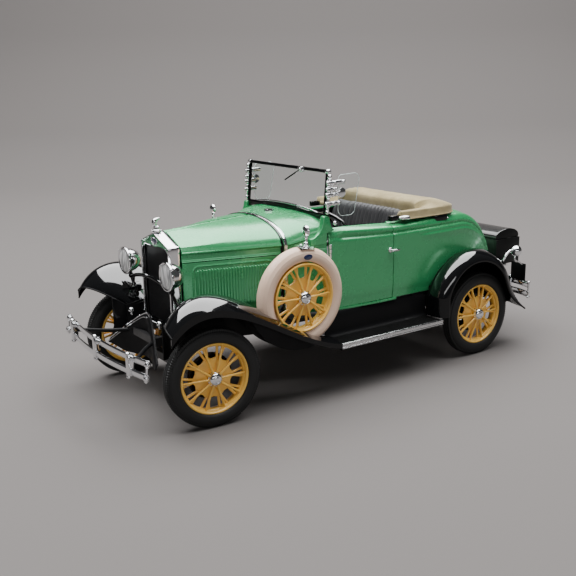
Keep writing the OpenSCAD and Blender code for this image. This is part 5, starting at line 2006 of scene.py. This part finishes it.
def trunk():
    body = Piece("trunk_case")
    body.box((-45.95, -25.5, 37.1), (-28.65, 25.5, 38.4))
    for x in (-45.95, -29.85):
        body.box((x, -25.5, 37.1), (x + 1.2, 25.5, 50.32))
    for y in (-25.45, 25.45):
        body.box((-46.1, y - 0.9, 37.2), (-28.5, y + 0.9, 50.25))
    for y in STRAP_Y:
        for x in (-46.1, -29.0):
            body.box((x, y - 0.9, 37.2), (x + 0.5, y + 0.9, 50.25))
    body.done("car_body", "trunk_black", TRUNK, ["trunk_body"], 0.12, 2)
    lid = Piece("trunk_case_lid")
    rows = []
    middle, seam = -37.3, 50.4
    arc = [
        (-28.6, seam), (-28.7, 51.6), (-29.8, 53.2), (-32.4, 54.5), (-36, 55.2),
        (-39.6, 55.2), (-43.0, 54.4), (-45.2, 53.1), (-46.1, 51.6), (-46.0, seam),
    ]
    line = curve(arc, 5)
    for y in [*np.linspace(-25.6, -24.2, 6), *np.linspace(-23, 23, 24), *np.linspace(24.2, 25.6, 6)]:
        ease = 1 - 0.015 * step(abs(y), 25.0, 25.6) ** 2
        rib = 0.032 * (hump(abs(y), STRAP_Y[1], 0.8) > 0.4)
        rows.append([(middle + (x - middle) * ease, y, seam + (z - seam) * (ease + rib)) for x, z in line])
    lid.grid(rows, wrap_v=True).cap_ends(len(rows), len(rows[0]))
    lid.done("trunk_lid", "trunk_black", TRUNK, ["trunk_lid"], 0.2, 2)
    metal_bits = Piece("trunk_fittings")
    for y in STRAP_Y:
        metal_bits.box((-46.75, y - 1.1, 46.4), (-46.0, y + 1.1, 50.0))
        metal_bits.ball((-46.7, y, 47.6), 0.5, (1, 0, 0), 0.6)
    metal_bits.done("car_body", "bright_trim", TRIM, (), 0.15)
    hasps = Piece("trunk_lid_hasps")
    for y in STRAP_Y:
        hasps.box((-46.75, y - 0.9, 50.5), (-46.0, y + 0.9, 52.6))
    hasps.done("trunk_lid", "bright_trim", TRIM, (), 0.15)


trunk()


def engine_details():
    """Leads and plugs seen under the open hood."""
    plugs, leads = Piece("engine_plugs"), Piece("engine_leads")
    for k in range(4):
        x = 114.5 + 7 * k
        plugs.revolve(
            [(0.55, 0), (0.7, 0.2), (0.7, 0.9), (0.4, 1.1), (0.4, 2.2), (0, 2.3)], (x, 0, 57.9),
            (0, 0, 1), 16,
        )
        leads.tube(
            curve([(x, 0, 60.0), (x + 0.4, 1.5, 61.0), (x + 1.6, 4.5, 60.0), (124, 8.0, 57.0)], 7), 0.32,
            8,
        )
    plugs.done("car_body", "bright_trim", TRIM)
    leads.done("car_body", "gloss_black", BLACK)


engine_details()

# ---------------------------------------------------------------- finishes of the kept CAD nodes

for name, made in nodes.items():
    for place, old in enumerate(made.data.materials):
        key = old.name.split(".")[0] if old else ""
        if key in CAD_FINISH:
            made.data.materials[place] = CAD_FINISH[key]

# ---------------------------------------------------------------- floor, light and camera


def plain_floor():
    """A pale floor that curves up into a backdrop behind the car."""
    material = principled("pale_floor", Base_Color=FLOOR_TONE, Roughness=0.9, Specular_IOR_Level=0.1)[0]
    profile = [
        (1.2, 0.0), (-0.35, 0.0), (-0.6, 0.01), (-0.8, 0.06), (-0.95, 0.2), (-1.02, 0.45), (-1.02, 2.0),
    ]
    turn = Matrix.Rotation(math.radians(FLOOR_TURN), 3, "Z")
    verts = [tuple(turn @ Vector((x, y, z))) for x in (3.0, -3.0) for y, z in profile]
    mesh = bpy.data.meshes.new("floor")
    n = len(profile)
    mesh.from_pydata(verts, [], [(j, j + 1, n + j + 1, n + j) for j in range(n - 1)])
    floor = bpy.data.objects.new("floor", mesh)
    bpy.context.scene.collection.objects.link(floor)
    floor.data.materials.append(material)
    floor.data.polygons.foreach_set("use_smooth", [True] * (n - 1))


FLOOR_TURN = -35
FLOOR_TONE = (0.150, 0.140, 0.136)
plain_floor()


def area_light(name, place, target, size, power):
    data = bpy.data.lights.new(name, "AREA")
    data.shape = "RECTANGLE"
    data.size, data.size_y = size
    data.energy = power
    made = bpy.data.objects.new(name, data)
    made.location = place
    made.rotation_euler = (Vector(place) - Vector(target)).to_track_quat("Z", "Y").to_euler()
    bpy.context.scene.collection.objects.link(made)


area_light("top_softbox", (-0.08, -0.14, 0.85), (-0.04, -0.05, 0), (1.3, 1.15), 37)
area_light("side_strip", (0.35, 1.25, 0.42), (0, 0, 0.05), (1.3, 0.16), 3.0)

world = bpy.data.worlds.new("studio")
world.use_nodes = True
ambient = world.node_tree.nodes["Background"]
ambient.inputs["Color"].default_value = (0.60, 0.60, 0.61, 1)
ambient.inputs["Strength"].default_value = 0.10
bpy.context.scene.world = world

CAMERA_AT = (0.23089, 0.31140, 0.13429)
CAMERA_TARGET = (0.01629, 0, 0.03798)
CAMERA_ROLL = -1.103
LENS_MM = 52.48


def photo_camera():
    """The camera at the photograph's angle, with its slight roll."""
    data = bpy.data.cameras.new("camera")
    data.lens = LENS_MM
    data.sensor_width = 36
    data.clip_start = 0.01
    camera = bpy.data.objects.new("camera", data)
    camera.location = CAMERA_AT
    back = (camera.location - Vector(CAMERA_TARGET)).normalized()
    across = Vector((0, 0, 1)).cross(back).normalized()
    roll = Matrix.Rotation(math.radians(CAMERA_ROLL), 3, back)
    axes = (roll @ across, roll @ back.cross(across), back)
    camera.rotation_euler = Matrix(axes).transposed().to_euler()
    bpy.context.scene.collection.objects.link(camera)
    bpy.context.scene.camera = camera


photo_camera()
